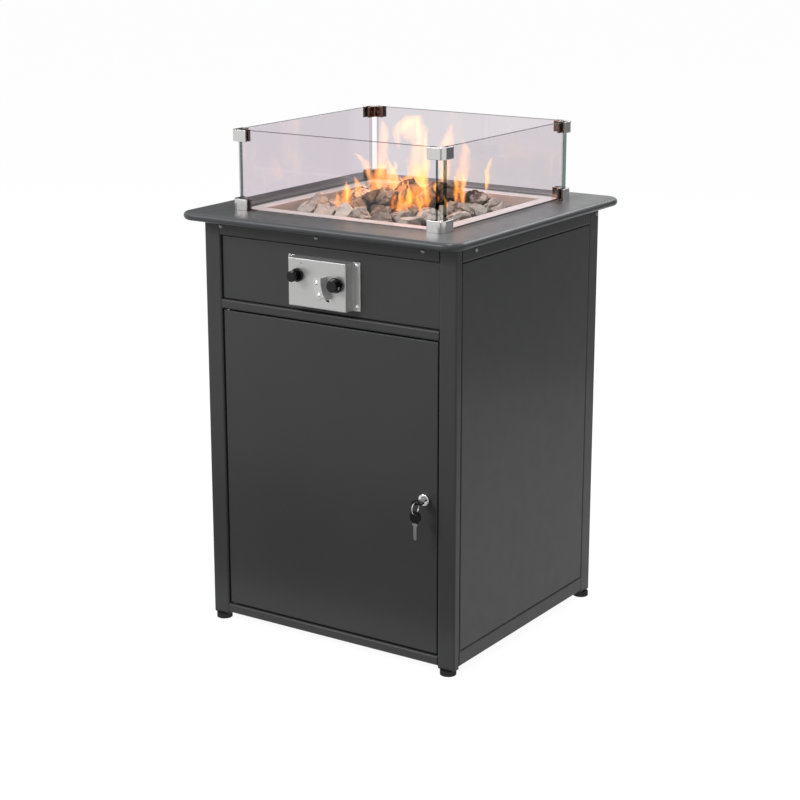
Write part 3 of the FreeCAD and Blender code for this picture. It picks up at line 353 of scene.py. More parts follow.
# %% [markdown]
# The table is powder coated. The powder melts into a skin with a very fine ripple and an
# even anthracite colour, so the finish is one grey with a slow drift in tone, a roughness
# that wanders a little, and a ripple of a few thousandths of a millimetre. A weak clear
# coat over the body's grey gives it a second, sharper shine. The top is the same coat but
# glossier, which is why it mirrors the white surround, and its grey is painted paler to
# stand in for the light that falls on it from above.

# %% Powder coat
anthracite = (0.043, 0.043, 0.0445)
# painted light: the top's grey is the body's coat made paler for the light on the top
lit_top_grey = (0.071, 0.073, 0.076)
coat_fold_mm = 1.8
drift_grain, wander_grain, ripple_grain = 4, 35, 420


def powder_coat(name, colour, roughness, ripple_mm, shine, lacquer):
    material, tree, shader = new_finish(name, {
        "Specular IOR Level": shine, "Coat Weight": lacquer, "Coat Roughness": 0.2})
    drift = grain(tree, drift_grain, 3.0)
    darker, lighter = ([c * factor for c in colour] for factor in (0.93, 1.07))
    wander = grain(tree, wander_grain, 3.0)
    fill(shader, {"Base Color": two_colours(tree, drift, darker, lighter),
                  "Roughness": between(tree, wander, roughness - 0.03, roughness + 0.03)})
    ripple = grain(tree, ripple_grain, 2.0)
    relief(tree, shader, ripple, ripple_mm, soft_edges(tree, coat_fold_mm))
    return material


body_coat = powder_coat("anthracite_coat", anthracite, 0.48, 0.006, 0.27, 0.16)
lit_top_coat = powder_coat("tabletop_coat", lit_top_grey, 0.32, 0.0002, 0.26, 0.0)
print("coats:", body_coat.name, lit_top_coat.name)

# %% [markdown]
# The burner tray and the control box are stainless sheet with a brushed grain. Brushing
# leaves long fine scratches in one direction, so the noise is stretched a hundredfold along
# one axis and drives both the roughness and a shallow relief. The scratches also scatter
# light like a matt surface does, so the box and the tray are metal only in part. The clips
# are polished almost smooth, so their grain is finer and shallower.

# %% Brushed steel
sheet_fold_mm = 1.2


def brushed_steel(name, colour, roughness, along, metal, fine=1600.0, scratch_mm=0.0004):
    """Stainless sheet brushed along one axis: 0 for X, 1 for Y, 2 for Z."""
    material, tree, shader = new_finish(name, {"Metallic": metal, "Anisotropic": 0.4})
    stretch = [1.0, 1.0, 1.0]
    stretch[along] = 0.01
    lines = grain(tree, fine, 2.0, stretch)
    vary(tree, shader, lines, colour, 0.965, roughness - 0.025, roughness + 0.025)
    relief(tree, shader, lines, scratch_mm, soft_edges(tree, sheet_fold_mm))
    return material


box_steel = brushed_steel("control_box_steel", (0.55, 0.545, 0.54), 0.36, 0, 0.5)
# painted light: the quadrant is the box's brushed steel made paler, for light on its wall in the
# knob's shade
lit_bracket_steel = brushed_steel("quadrant_steel_painted_light", (0.72, 0.715, 0.71), 0.45, 2, 0.2)
tray_steel = brushed_steel("tray_steel", (0.70, 0.635, 0.63), 0.42, 0, 0.6)
clip_steel = brushed_steel("clip_steel", (0.64, 0.625, 0.62), 0.2, 2, 0.95, 6000.0, 0.0001)
print("brushed:", box_steel.name, lit_bracket_steel.name, tray_steel.name, clip_steel.name)

# %% [markdown]
# The small parts are plain metal: a chromed lock, plated screws and rivets, a brass valve
# and steel gas pipes. Handling leaves smudges on them that are only a little duller, so one
# soft noise drives both the tone and the roughness.

# %% Plain metals


def plain_metal(name, colour, roughness, marks=60.0):
    """Chrome, brass or plated steel: a clear metal with faint handling marks."""
    material, tree, shader = new_finish(name, {"Metallic": 1.0})
    smudge = grain(tree, marks, 4.0)
    vary(tree, shader, smudge, colour, 0.93, roughness, roughness + 0.08)
    return material


screw_steel = plain_metal("screw_steel", (0.78, 0.78, 0.78), 0.16)
# painted shade: the bracket screws sit in the shadow under the tabletop and get this dark grey for
# it; the grub screws in the clips are dark of their own
shaded_dark_screw = plain_metal("dark_screw_painted_shade", (0.2, 0.2, 0.2), 0.35)
pipe_steel = plain_metal("pipe_steel", (0.55, 0.54, 0.52), 0.3)
chrome = plain_metal("lock_chrome", (0.72, 0.72, 0.73), 0.09, 400.0)
brass = plain_metal("valve_brass", (0.75, 0.56, 0.27), 0.25)
print("plain:", screw_steel.name, pipe_steel.name, chrome.name, brass.name)

# %% [markdown]
# The walls of the clips that look at the flames get a painted reflection, a dark brown
# that stands in for the stones and the fire mirrored in them. A wall looks at the flames
# where its normal points back to the middle, so the product of normal and place tells how
# far the brown goes.

# %% Painted reflection on the clips
# painted reflection: the colour of the stones and the fire mirrored in the clips
painted_reflection_brown = (0.17, 0.095, 0.07)
looks_at_fire = (-0.62, -0.3)


def paint_inner_reflection(material):
    """Paints a brown reflection on the faces that look at the middle of the table."""
    tree = material.node_tree
    shader = tree.nodes["Principled BSDF"]
    where = add_node(tree, "TexCoord").outputs
    flat = add_node(tree, "VectorMath", {0: where["Object"], 1: (1, 1, 0)},
                    operation="MULTIPLY")
    out_way = add_node(tree, "VectorMath", {0: flat.outputs[0]}, operation="NORMALIZE")
    facing = add_node(tree, "VectorMath", {0: where["Normal"], 1: out_way.outputs[0]},
                      operation="DOT_PRODUCT")
    before = shader.inputs["Base Color"].links[0].from_socket
    share = between(tree, facing.outputs["Value"], 1.0, 0.0, *looks_at_fire)
    # painted reflection: the brown stands for the stones and the fire mirrored in these walls
    fill(shader, {"Base Color": blend_colours(tree, share, before, painted_reflection_brown)})


paint_inner_reflection(clip_steel)
print("clips tinted")

# %% [markdown]
# The plastics are black: glossy moulded knobs, matt feet and soft liners in the clips. The
# matt one has the fine pebble of a textured mould. The electrode's white ceramic is made
# in the same way. Black mirrors a white room too well, so its shine is turned down.

# %% Plastics


def moulded(name, colour, roughness, pebble_mm, shine=0.5):
    material, tree, shader = new_finish(name, {"Specular IOR Level": shine})
    speck = grain(tree, 260.0, 3.0)
    vary(tree, shader, speck, colour, 0.8, roughness - 0.04, roughness + 0.04)
    relief(tree, shader, grain(tree, 1500.0, 2.0), pebble_mm)
    return material


gloss_black = moulded("gloss_black", (0.008, 0.008, 0.009), 0.1, 0.001, 0.25)
matt_black = moulded("matt_black", (0.02, 0.02, 0.021), 0.5, 0.015, 0.3)
liner_rubber = moulded("clip_liner", (0.03, 0.03, 0.03), 0.6, 0.01)
ceramic = moulded("electrode_ceramic", (0.8, 0.79, 0.75), 0.3, 0.002)
print("plastics made")

# %% [markdown]
# A key is one flat piece here, with a black bow and a bright blade below it. The spare key
# hangs straight down, so the height tells the two apart, and the same share drives the
# colour, the metalness and the gloss.

# %% Keys
key_low, key_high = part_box("spare_key")
bow_length = 0.018
blade_top = key_high.z - bow_length
blade_blend = 0.0006
blade_steel = (0.34, 0.335, 0.32)
bow_black = (0.008, 0.008, 0.009)


def key_material(name, level):
    """Black plastic above a level and nickel silver below it."""
    material, tree, shader = new_finish(name, {"Specular IOR Level": 0.15})
    where = add_node(tree, "TexCoord")
    split = add_node(tree, "SeparateXYZ", {0: where.outputs["Object"]})
    span = (level - blade_blend, level + blade_blend)
    bow = between(tree, split.outputs["Z"], 0.0, 1.0, *span)
    fill(shader, {"Base Color": two_colours(tree, bow, blade_steel, bow_black, 0.4, 0.6),
                  "Metallic": between(tree, bow, 1.0, 0.0, 0.4, 0.6),
                  "Roughness": between(tree, bow, 0.3, 0.4, 0.4, 0.6)})
    relief(tree, shader, grain(tree, 1200.0, 2.0), 0.006)
    return material


key_finish = key_material("spare_key_finish", blade_top)
key_bow_finish = moulded("key_bow_plastic", bow_black, 0.4, 0.008, 0.15)
print("spare key", round((key_high.z - key_low.z) * 1000), "mm long")

# %% [markdown]
# The wind guard is 6 mm toughened glass with a faint lilac grey cast. Real refraction would
# cost many light bounces and darken the flames behind it, so each face is a clear
# transparent surface with a light tint, mixed by Fresnel with a thin mirror on its outer
# side. The polished edges are where the glass shows its depth, so faces that look along
# the pane are darker and greener. The two panes nearest to the camera read as clear, and
# the two behind the fire carry most of the lilac tone.

# %% Glass
near_tint = (0.982, 0.972, 0.979)
far_tint = (0.832, 0.802, 0.828)
rear_tint = (0.855, 0.83, 0.845)
near_edge = (0.17, 0.25, 0.225)
far_edge = (0.66, 0.63, 0.65)
top_edge = (0.42, 0.42, 0.42)
edge_from = (0.3, 0.6)
glass_ior = 1.5


def pane_glass(name, end_axis, face_tint, end_tint):
    """Glass for a pane whose ends look along X or Y."""
    material, tree, shader = new_finish(name, {"Metallic": 1.0,
                                               "Base Color": (0.95, 0.95, 0.95, 1)})
    fill(shader, {"Roughness": between(tree, grain(tree, 9.0, 3.0), 0.015, 0.05)})
    where = add_node(tree, "TexCoord")
    split = add_node(tree, "SeparateXYZ", {0: where.outputs["Normal"]})
    at_end, at_top = (calc(tree, "ABSOLUTE", split.outputs[axis]) for axis in (end_axis, "Z"))
    tint = two_colours(tree, at_end, face_tint, end_tint, *edge_from)
    tint = blend_colours(tree, between(tree, at_top, 0.0, 1.0, *edge_from), tint, top_edge)
    clear = add_node(tree, "BsdfTransparent", {"Color": tint})
    fresnel = add_node(tree, "Fresnel", {"IOR": glass_ior})
    inside = add_node(tree, "NewGeometry").outputs["Backfacing"]
    hidden = calc(tree, "MAXIMUM", inside, calc(tree, "MAXIMUM", at_end, at_top))
    front = calc(tree, "SUBTRACT", 1.0, hidden, clamp=True)
    mirror = calc(tree, "MULTIPLY", fresnel.outputs[0], front)
    mix_shaders(tree, tree.nodes["Material Output"], mirror, clear.outputs[0],
                shader.outputs[0])
    return material


front_glass = pane_glass("front_glass", "X", near_tint, near_edge)
right_glass = pane_glass("right_glass", "Y", near_tint, near_edge)
rear_glass = pane_glass("rear_glass", "X", rear_tint, far_edge)
left_glass = pane_glass("left_glass", "Y", far_tint, far_edge)
print("glass made")

# %% [markdown]
# Under the heap lies a packed bed of fine pinkish grit. Cell noise gives each grain its own
# tone and a small bump, which is enough at this size.

# %% Grit bed
grain_per_metre = 420.0
dark_grit = (0.075, 0.058, 0.05)
pale_grit = (0.36, 0.31, 0.285)


def grit_finish():
    material, tree, shader = new_finish("grit_bed", {"Roughness": 0.85})
    where = add_node(tree, "TexCoord")
    cells = add_node(tree, "TexVoronoi", {"Vector": where.outputs["Object"],
                                          "Scale": grain_per_metre})
    tone = add_node(tree, "SeparateColor", {0: cells.outputs["Color"]})
    fill(shader, {"Base Color": two_colours(tree, tone.outputs[0], dark_grit, pale_grit,
                                            0.1, 0.9)})
    relief(tree, shader, between(tree, cells.outputs["Distance"], 1.0, 0.0, 0.0, 0.6), 0.5)
    return material


grit = grit_finish()
print("grains of about", round(1000 / grain_per_metre, 1), "mm")

# %% [markdown]
# Now each CAD piece gets its finish. A dictionary from finish to the names of its pieces
# keeps this readable and makes it easy to see that nothing was forgotten.

# %% Finish the CAD pieces
finishes = {
    body_coat: """front_post_left front_post_right rear_post_left rear_post_right
        front_rail_top front_rail_middle front_rail_bottom rear_rail_top rear_rail_bottom
        side_rails_top side_rails_bottom side_panel_right side_panel_left rear_panel
        control_panel door_panel table_brackets base_plate""",
    lit_top_coat: "tabletop",
    box_steel: "control_box",
    lit_bracket_steel: "quadrant_bracket",
    tray_steel: "burner_tray",
    clip_steel: "corner_clips",
    shaded_dark_screw: "bracket_screws clip_screws",
    screw_steel: """control_box_screws quadrant_rivets
        knob_set_screw door_pins lock_nut lock_cam valve_spindle""",
    pipe_steel: "burner mixing_tube gas_tube key_ring",
    chrome: "lock_barrel lock_core",
    brass: "valve_body",
    gloss_black: "igniter_body igniter_nut igniter_button knob",
    matt_black: """post_end_caps foot_front_left foot_front_right foot_rear_left
        foot_rear_right door_bushes""",
    key_finish: "spare_key",
    key_bow_finish: "lock_key",
    liner_rubber: "clip_liners",
    ceramic: "spark_electrode",
    grit: "stone_bed",
    front_glass: "glass_front",
    right_glass: "glass_right",
    rear_glass: "glass_rear",
    left_glass: "glass_left",
}


def finish_piece(name, material):
    piece = cad[name]
    piece.data.materials.clear()
    piece.data.materials.append(material)


finished = set()
for material, names in finishes.items():
    for name in names.split():
        finish_piece(name, material)
        finished.add(name)
print(len(finished), "finished, left:", sorted(set(cad) - finished))

# %% [markdown]
# The stones are broken rock, pale outside and browned near the flames, with painted shade
# laid over that: the faces turned in towards the fire and the low part of each stone, where
# it sits among its neighbours, are painted darker. One finish serves them all: each stone
# carries a painted tone, whose red says how warm its own colour is, green how brown it is
# and blue how black, both from soot and from painted shade, and noise breaks both into
# patches. A painted attribute stays with the mesh, so a stone keeps its look wherever it is
# seen from.

# %% Stone finish
pale_stone = (0.50, 0.44, 0.395)
tan_stone = (0.20, 0.14, 0.10)
soot_and_shade_colour = (0.085, 0.052, 0.036)
char_and_shade_colour = (0.012, 0.010, 0.009)
vein = (0.15, 0.11, 0.08)
mottle_grain, vein_grain, fleck_grain = 70, 34, 120
rough_grain, rough_mm = 260, 0.5
dust_grain, dust_mm = 900, 0.12


def stone_finish():
    material, tree, shader = new_finish("broken_stone")
    painted = add_node(tree, "Attribute", attribute_name="stone_tone")
    parts = add_node(tree, "SeparateColor", {0: painted.outputs["Color"]})
    mottle = grain(tree, mottle_grain, 5.0, (1, 1, 1), 0.65)
    own = blend_colours(tree, parts.outputs["Red"], pale_stone, tan_stone)
    streaks = grain(tree, vein_grain, 6.0, (1, 1, 2.2), 0.7)
    own = blend_colours(tree, between(tree, streaks, 0.0, 0.75, 0.5, 0.66), own, vein)
    patch = calc(tree, "ADD", parts.outputs["Green"], between(tree, mottle, -0.5, 0.5))
    # soot near the fire and painted shade both turn the stone brown
    soot_and_shade_share = between(tree, patch, 0.0, 0.94, 0.35, 0.8)
    browned = blend_colours(tree, soot_and_shade_share, own, soot_and_shade_colour)
    flecks = between(tree, grain(tree, fleck_grain, 5.0, (1, 1, 1), 0.7), -0.4, 0.4)
    fleck = calc(tree, "ADD", parts.outputs["Blue"], flecks)
    # char and painted shade both turn the stone black
    char_and_shade = between(tree, fleck, 0.0, 0.97, 0.3, 0.62)
    fill(shader, {"Base Color": blend_colours(tree, char_and_shade, browned, char_and_shade_colour),
                  "Roughness": between(tree, mottle, 0.7, 0.95)})
    pits = relief(tree, shader, grain(tree, rough_grain, 6.0, (1, 1, 1), 0.7), rough_mm)
    relief(tree, shader, grain(tree, dust_grain, 3.0), dust_mm, pits)
    return material


stone_look = stone_finish()
print("stone finish made")

# %% [markdown]
# The CAD stones are convex blocks with flat faces and sharp corners, one closed solid each,
# in two nodes. Here each node is split into its solids, to rebuild every stone by itself.

# %% Split the nodes into stones


def separate_stones(node):
    """The corner points of each closed solid in a CAD node, always in the same order."""
    whole = bmesh.new()
    whole.from_mesh(cad[node].data)
    bmesh.ops.remove_doubles(whole, verts=whole.verts, dist=1e-5)
    whole.verts.index_update()
    left = set(whole.verts)
    found = []
    while left:
        reached = {left.pop()}
        front = list(reached)
        while front:
            vert = front.pop()
            for edge in vert.link_edges:
                other = edge.other_vert(vert)
                if other in left:
                    left.discard(other)
                    reached.add(other)
                    front.append(other)
        found.append([vert.co.copy() for vert in sorted(reached, key=lambda v: v.index)])
    whole.free()
    found.sort(key=lambda corners: tuple(sum(corners, Vector()) / len(corners)))
    return found


heap = {node: separate_stones(node) for node in ("lower_stones", "mound_stones")}
print({node: len(stones) for node, stones in heap.items()}, "stones")

# %% [markdown]
# A block can't be roughened while it has only a few large faces. So its convex hull is
# bevelled a little, as if its edges were worn, and then meshed anew with small even cells.

# %% Worn block
worn_edge = 0.0004
stone_voxel = 0.0014


def worn_block(corners, name):
    """A convex block through the corners, with rounded edges and an even mesh."""
    block = bmesh.new()
    for corner in corners:
        block.verts.new(corner)
    hull = bmesh.ops.convex_hull(block, input=block.verts)
    inner = [item for item in hull["geom_interior"] if isinstance(item, bmesh.types.BMVert)]
    bmesh.ops.delete(block, geom=inner, context="VERTS")
    bmesh.ops.dissolve_limit(block, angle_limit=0.02, verts=block.verts, edges=block.edges)
    bmesh.ops.bevel(block, geom=block.edges[:], offset=worn_edge, segments=2, profile=0.5,
                    affect="EDGES", clamp_overlap=True)
    mesh = bpy.data.meshes.new(name)
    block.to_mesh(mesh)
    block.free()
    piece = add_object(name, mesh)
    even = piece.modifiers.new("even_mesh", "REMESH")
    even.mode = "VOXEL"
    even.voxel_size = stone_voxel
    ready = piece.evaluated_get(bpy.context.evaluated_depsgraph_get())
    piece.data = bpy.data.meshes.new_from_object(ready)
    piece.data.name = name
    piece.modifiers.clear()
    bpy.data.meshes.remove(mesh)
    return piece


print("a stone is meshed at", stone_voxel * 1000, "mm")

# %% [markdown]
# Broken rock has crisp ridges between faces that are flat or slightly hollow, because it
# splits along curved shells. A chip presses the points back onto a plane, and a scoop
# pushes them back to a large ball that bites into the stone. Both only take material away,
# so neighbours never grow into each other.

# %% Chips and scoops
chip_count = 6
chip_bite = (0.0012, 0.0045)
scoop_count = 4
scoop_bite = (0.0012, 0.0036)
scoop_radius = (0.022, 0.05)


def any_way(draw):
    """A direction drawn evenly from all round."""
    return Vector([draw.gauss(0, 1) for _ in range(3)]).normalized()


def any_shift(draw):
    """Some place in a noise, so that no two pieces get the same roughness."""
    return Vector([draw.uniform(0, 9) for _ in range(3)])


def chip(points, middle, draw):
    """Splits a flat flake off one side, by pressing the points back onto a plane."""
    way = any_way(draw)
    reach = max((point - middle).dot(way) for point in points) - draw.uniform(*chip_bite)
    for point in points:
        beyond = (point - middle).dot(way) - reach
        if beyond > 0:
            point -= way * beyond


def scoop(points, middle, draw):
    """Pushes the points that lie inside a large ball back to its surface."""
    way = any_way(draw)
    reach = max((point - middle).dot(way) for point in points)
    radius = draw.uniform(*scoop_radius)
    ball = middle + way * (reach + radius - draw.uniform(*scoop_bite))
    for point in points:
        away = point - ball
        if away.length < radius:
            point += away.normalized() * (radius - away.length)


print("a stone gets", chip_count, "chips and", scoop_count, "scoops")

# %% [markdown]
# The smaller roughness comes from three noises that move each point inwards: ridges for the
# crags, thin valleys for the cracks and a fine one for the pits. The faces are then shaded
# smooth, except where two of them meet at more than a set angle, which stays crisp.

# %% Crags, cracks and pits
crag, crag_grain = 0.0021, 50
crack, crack_grain = 0.0022, 48
pit, pit_grain = 0.0005, 330
crisp_angle = 24


def break_stone(piece, draw):
    """Hollows and roughens a stone."""
    mesh = piece.data
    points = [vertex.co.copy() for vertex in mesh.vertices]
    middle = sum(points, Vector()) / len(points)
    for _ in range(chip_count):
        chip(points, middle, draw)
    for _ in range(scoop_count):
        scoop(points, middle, draw)
    for vertex, point in zip(mesh.vertices, points):
        vertex.co = point
    mesh.update()
    shift = any_shift(draw)
    moves = []
    for vertex in mesh.vertices:
        ridged = noise.ridged_multi_fractal(vertex.co * crag_grain + shift, 0.9, 2.1, 4,
                                            1.0, 1.6)
        groove = 1 - min(1.0, 6 * abs(noise.noise(vertex.co * crack_grain - shift)))
        fine = noise.noise(vertex.co * pit_grain + shift)
        moves.append(vertex.normal * (crag * min(0.0, 0.5 * ridged - 1) - crack * groove * groove
                                      + pit * (fine - 0.5)))
    for vertex, move in zip(mesh.vertices, moves):
        vertex.co += move
    mesh.shade_smooth()
    mesh.set_sharp_from_angle(angle=math.radians(crisp_angle))


print("crags", crag * 1000, "mm, cracks", crack * 1000, "mm, pits", pit * 1000, "mm")

# %% [markdown]
# Soot follows the flames, so a stone in the middle of the heap is browner than one at the
# rim. Near the middle a stone is also darker towards its bottom. Painted shade is laid over
# that: the faces that look in towards the fire and the low part of every stone, where it
# sits among its neighbours and on the bed, are painted darker. One stone on the right has a
# burnt side.

# %% Soot and painted shade on a stone
soot_reach = 0.118
fire_depth = 0.03
bottom_dark_fade = 0.016
contact_shade_height = 0.008
least_char_and_shade = 0.02
burnt_stone_place = Vector((0.085, 0.075, 0.67))
burnt_stone_reach = 0.022
burnt_fade = 0.008
# weights of the painted shade, low on each stone and on the faces turned to the fire
contact_shade_brown, contact_shade_char = 0.8, 0.85
facing_shade_brown, facing_shade_char = 0.5, 0.8
chance_brown, chance_warm, chance_lift = (-0.25, 0.4), (-0.5, 0.9), (0.0, 0.008)


def held(value, low=0.0):
    """A share kept between its lowest value and 1."""
    return min(1.0, max(low, value))


def paint_stone(piece, middle, draw):
    """Writes a stone's warmth, and how brown and black it is from soot and from painted shade,
    into its mesh.
    """
    nearness = 1 - min(1.0, math.hypot(middle.x, middle.y) / soot_reach)
    browned = 0.04 + nearness ** 0.75 + draw.uniform(*chance_brown)
    warm = held(draw.uniform(*chance_warm) * 0.7 + 1.1 * nearness)
    burnt = (middle - burnt_stone_place).length < burnt_stone_reach
    fire_way = Vector((-middle.x, -middle.y, -fire_depth)).normalized()
    lift = draw.uniform(*chance_lift)
    paint = []
    for vertex in piece.data.vertices:
        away = vertex.co - middle
        # stones near the middle are darker towards the bottom
        char_and_shade = nearness * (0.4 - (away.z + lift) / bottom_dark_fade)
        if burnt:
            char_and_shade = 0.5 - away.x / burnt_fade
        # painted contact shade: the low part of each stone, among its neighbours and on the bed,
        # is painted darker
        low = held(-away.z / contact_shade_height)
        # painted shade: faces turned in and down towards the fire, between the stones, are painted
        # darker
        facing_shade = held(vertex.normal.dot(fire_way) * 1.6 - 0.2)
        char_and_shade = max(char_and_shade, contact_shade_char * low - 0.22, facing_shade_char * facing_shade - 0.24)
        paint += [warm, browned + contact_shade_brown * low + facing_shade_brown * facing_shade,
                  held(char_and_shade, least_char_and_shade), 1.0]
    tone = piece.data.color_attributes.new("stone_tone", "FLOAT_COLOR", "POINT")
    tone.data.foreach_set("color", paint)


print("soot reaches", soot_reach * 1000, "mm from the middle")

# %% [markdown]
# Each stone is now rebuilt in its own place. It rides on the frame, and it takes the place
# of the CAD node that it came from, so the plain block doesn't show through it.

# %% Lay the stones
stone_seed = 31


def lay_stones():
    draw = random.Random(stone_seed)
    count = 0
    for node, stones in heap.items():
        for corners in stones:
            count += 1
            middle = sum(corners, Vector()) / len(corners)
            piece = worn_block(corners, "stone_%02d" % count)
            break_stone(piece, draw)
            paint_stone(piece, middle, draw)
            piece.data.materials.clear()
            piece.data.materials.append(stone_look)
            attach(piece, "frame")
            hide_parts(node)
    return count


print(lay_stones(), "stones laid")

# %% [markdown]
# A flame has no surface, only a glowing body that is bright inside and fades outwards. Here
# each tongue is a set of closed skins, one in another like an onion. Each skin is nearly
# clear, so the eye passes few of them at the rim and many in the middle, and the flame gets
# soft edges from every side. The first number of a tongue is its depth behind the middle
# of the heap, and each further row gives a place across the heap, a height and a half width,
# all in millimetres, from foot to tip. A tongue whose tip is high counts as a tall one.

# %% Flame shapes
tall_from = 733
flames = {
    "left_column": (98, ((-39, 690, 9.6), (-37, 706, 11.8), (-36, 723, 11), (-35, 741, 9.6),
                         (-34, 757, 8.4), (-35, 772, 6), (-38, 784, 1.8))),
    "great_flame": (138, ((21, 664, 14), (21, 682, 17.6), (20, 704, 17.4), (22, 724, 15.4),
                          (24, 742, 13.4), (22, 757, 14.4), (20, 768, 16), (23, 777, 11.5),
                          (28, 784.5, 2.8))),
    "great_head": (132, ((12, 738, 3), (9, 750, 12), (8, 761, 17.5), (11, 770, 16.5),
                         (18, 778, 9), (25, 783, 2))),
    "curled_lobe": (128, ((-8, 728, 1.2), (-11, 741, 5), (-12, 754, 8.2), (-6, 766, 10.4),
                          (6, 773, 10.8), (18, 778, 7), (26, 782, 2))),
    "great_flame_edge": (130, ((33, 690, 5), (35, 706, 6.4), (34, 722, 5.8), (33, 738, 4.4),
                              (34, 752, 3), (36, 764, 0.8))),
    "right_column": (60, ((61, 684, 6), (63, 704, 8.6), (64, 722, 11), (66, 740, 12),
                          (68, 756, 9.6), (71, 770, 6.4), (75, 782, 1.4))),
    "right_veil": (30, ((87, 690, 9.1), (89, 707, 10.8), (91, 724, 10.4), (94, 738, 8.2),
                        (93, 749, 5.4), (89, 760, 1.2))),
    "far_wisp": (20, ((127, 680, 2.4), (128, 697, 3.6), (128, 711, 4.2), (131, 721, 3.4),
                      (134, 729, 2), (138, 734, 0.7))),
    "hooked_flame": (35, ((-52, 692, 5.2), (-57, 710, 6.8), (-62, 721, 6.2), (-68, 729, 4.2),
                          (-74, 734, 2.2), (-80, 737, 0.7))),
    "heap_flame": (0, ((-40, 680, 11.1), (-41, 692, 15), (-38, 703, 15.6), (-35, 713, 10.4),
                       (-32, 723, 5), (-30, 732.5, 1))),
    "heap_white_wisp": (-6, ((-14, 690, 5.2), (-13, 703, 6.2), (-16, 714, 4.8), (-14, 724, 3),
                            (-18, 735, 0.8))),
    "heap_side_flame": (5, ((-24, 688, 6), (-23, 702, 6.8), (-20, 713, 5.2), (-23, 723, 3),
                            (-27, 732, 0.9))),
    "low_left_flame": (-45, ((-90, 666, 6.7), (-90, 678, 9.6), (-88, 688, 8.4), (-89, 697, 4.4),
                             (-90, 706, 0.8))),
    "low_left_lick": (-40, ((-101, 664, 4.4), (-104, 674, 5.2), (-103, 682, 3.6),
                            (-106, 689, 0.8))),
    "low_left_second": (-30, ((-74, 676, 4.4), (-73, 688, 6.5), (-73, 697, 5.8), (-75, 704, 3.4),
                              (-77, 711, 0.8))),
    "rear_sheet_left": (95, ((-14, 656, 8), (-13, 668, 11), (-15, 680, 9), (-13, 690, 4.5),
                             (-16, 699, 0.9))),
    "rear_sheet_middle": (100, ((6, 656, 12), (7, 669, 15), (5, 682, 12), (8, 692, 6),
                                (6, 701, 1))),
    "rear_sheet_right": (100, ((30, 656, 11), (31, 668, 14), (29, 682, 11), (31, 693, 5),
                               (29, 703, 1))),
    "rock_lick_left": (-58, ((-20, 664, 4), (-19, 674, 5.4), (-16, 684, 4), (-17, 692, 0.8))),
    "rock_lick_middle": (-62, ((-8, 656, 5), (-9, 666, 8), (-6, 677, 6.4), (-8, 687, 3),
                               (-5, 694, 0.8))),
    "middle_sheet": (-48, ((23, 664, 12), (22, 675, 18), (22, 685, 19), (24, 696, 16.4),
                           (28, 706, 9.6), (32, 716, 1.9))),
    "middle_left_lick": (-52, ((8, 664, 5.5), (6, 674, 7.6), (8, 684, 6.2), (5, 692, 3.6),
                               (7, 700, 0.8))),
    "middle_streak": (-62, ((34, 664, 3.7), (33, 678, 5.4), (31, 691, 4.6), (29, 702, 2.7),
                            (28, 711, 0.8))),
    "low_middle_streak": (-75, ((25, 656, 1.9), (24, 666, 3.5), (22, 675, 3.6), (19, 683, 2.1),
                                (18, 689, 0.7))),
    "low_left_streak": (-75, ((3, 657, 1.3), (3, 667, 2.4), (2, 676, 2.3), (0, 684, 0.7))),
    "middle_right_lick": (-30, ((45, 668, 4.6), (47, 679, 5.8), (45, 690, 4.4), (48, 699, 2.6),
                                (47, 707, 0.8))),
    "right_base": (-10, ((90, 662, 3.6), (89, 675, 5.6), (88, 687, 5.9), (91, 698, 5.2),
                         (90, 706, 3), (88, 714, 0.8))),
    "right_base_second": (-15, ((79, 666, 2.8), (79, 679, 4.8), (80, 692, 5.2), (78, 702, 3.5),
                                (76, 711, 0.9))),
}
across_way = Vector((math.cos(camera_heading), math.sin(camera_heading), 0))
depth_way = Vector((-math.sin(camera_heading), math.cos(camera_heading), 0))
print(len(flames), "tongues of flame")

# %% [markdown]
# A real flame adds its orange light to what is behind it, so its thick middle turns yellow
# and then white by itself. The painted colour is orange throughout, a little paler higher up
# and in the core, and the alpha of the paint says how dense a skin is. Low flames are deep
# orange and dense, and tall ones are paler and thin.

# %% Flame colours
low_rim = ((664, (0.85, 0.16, 0.004)), (690, (1.0, 0.25, 0.014)), (715, (1.0, 0.35, 0.05)),
           (740, (1.0, 0.42, 0.17)))
low_core = ((664, (1.0, 0.30, 0.022)), (690, (1.0, 0.39, 0.07)), (715, (1.0, 0.46, 0.17)),
            (740, (1.0, 0.50, 0.27)))
tall_rim = ((664, (0.9, 0.24, 0.015)), (690, (1.0, 0.36, 0.06)), (715, (1.0, 0.42, 0.18)),
            (785, (1.0, 0.45, 0.26)))
tall_core = ((664, (1.0, 0.40, 0.06)), (694, (1.0, 0.44, 0.15)), (720, (1.0, 0.47, 0.28)),
             (785, (1.0, 0.48, 0.33)))
tall_density = 0.031
low_density = 0.061
hot_below, hot_fade, hot_gain = 712, 35, 2.2
foot_fade, tip_fade = 0.18, 0.3


def colour_at(height, scale):
    """The colour at a height in millimetres, from a scale of heights and colours."""
    for (low, cool), (high, hot) in zip(scale, scale[1:]):
        if height <= high:
            return Vector(cool).lerp(Vector(hot), held((height - low) / (high - low)))
    return Vector(scale[-1][1])


def skin_alpha(share, size, height, tall):
    """How dense a skin is: thin at the foot and the tip, and denser in the hot lower part."""
    body = min(1.0, share / foot_fade) * min(1.0, (1 - share) / tip_fade)
    hot = held((hot_below - height) / hot_fade)
    if tall:
        return body * tall_density * (0.9 + 0.3 * (1 - size)) * (1 + hot_gain * hot)
    return body * low_density * (0.6 + 0.9 * (1 - size))


print("density", low_density, "low and", tall_density, "tall")

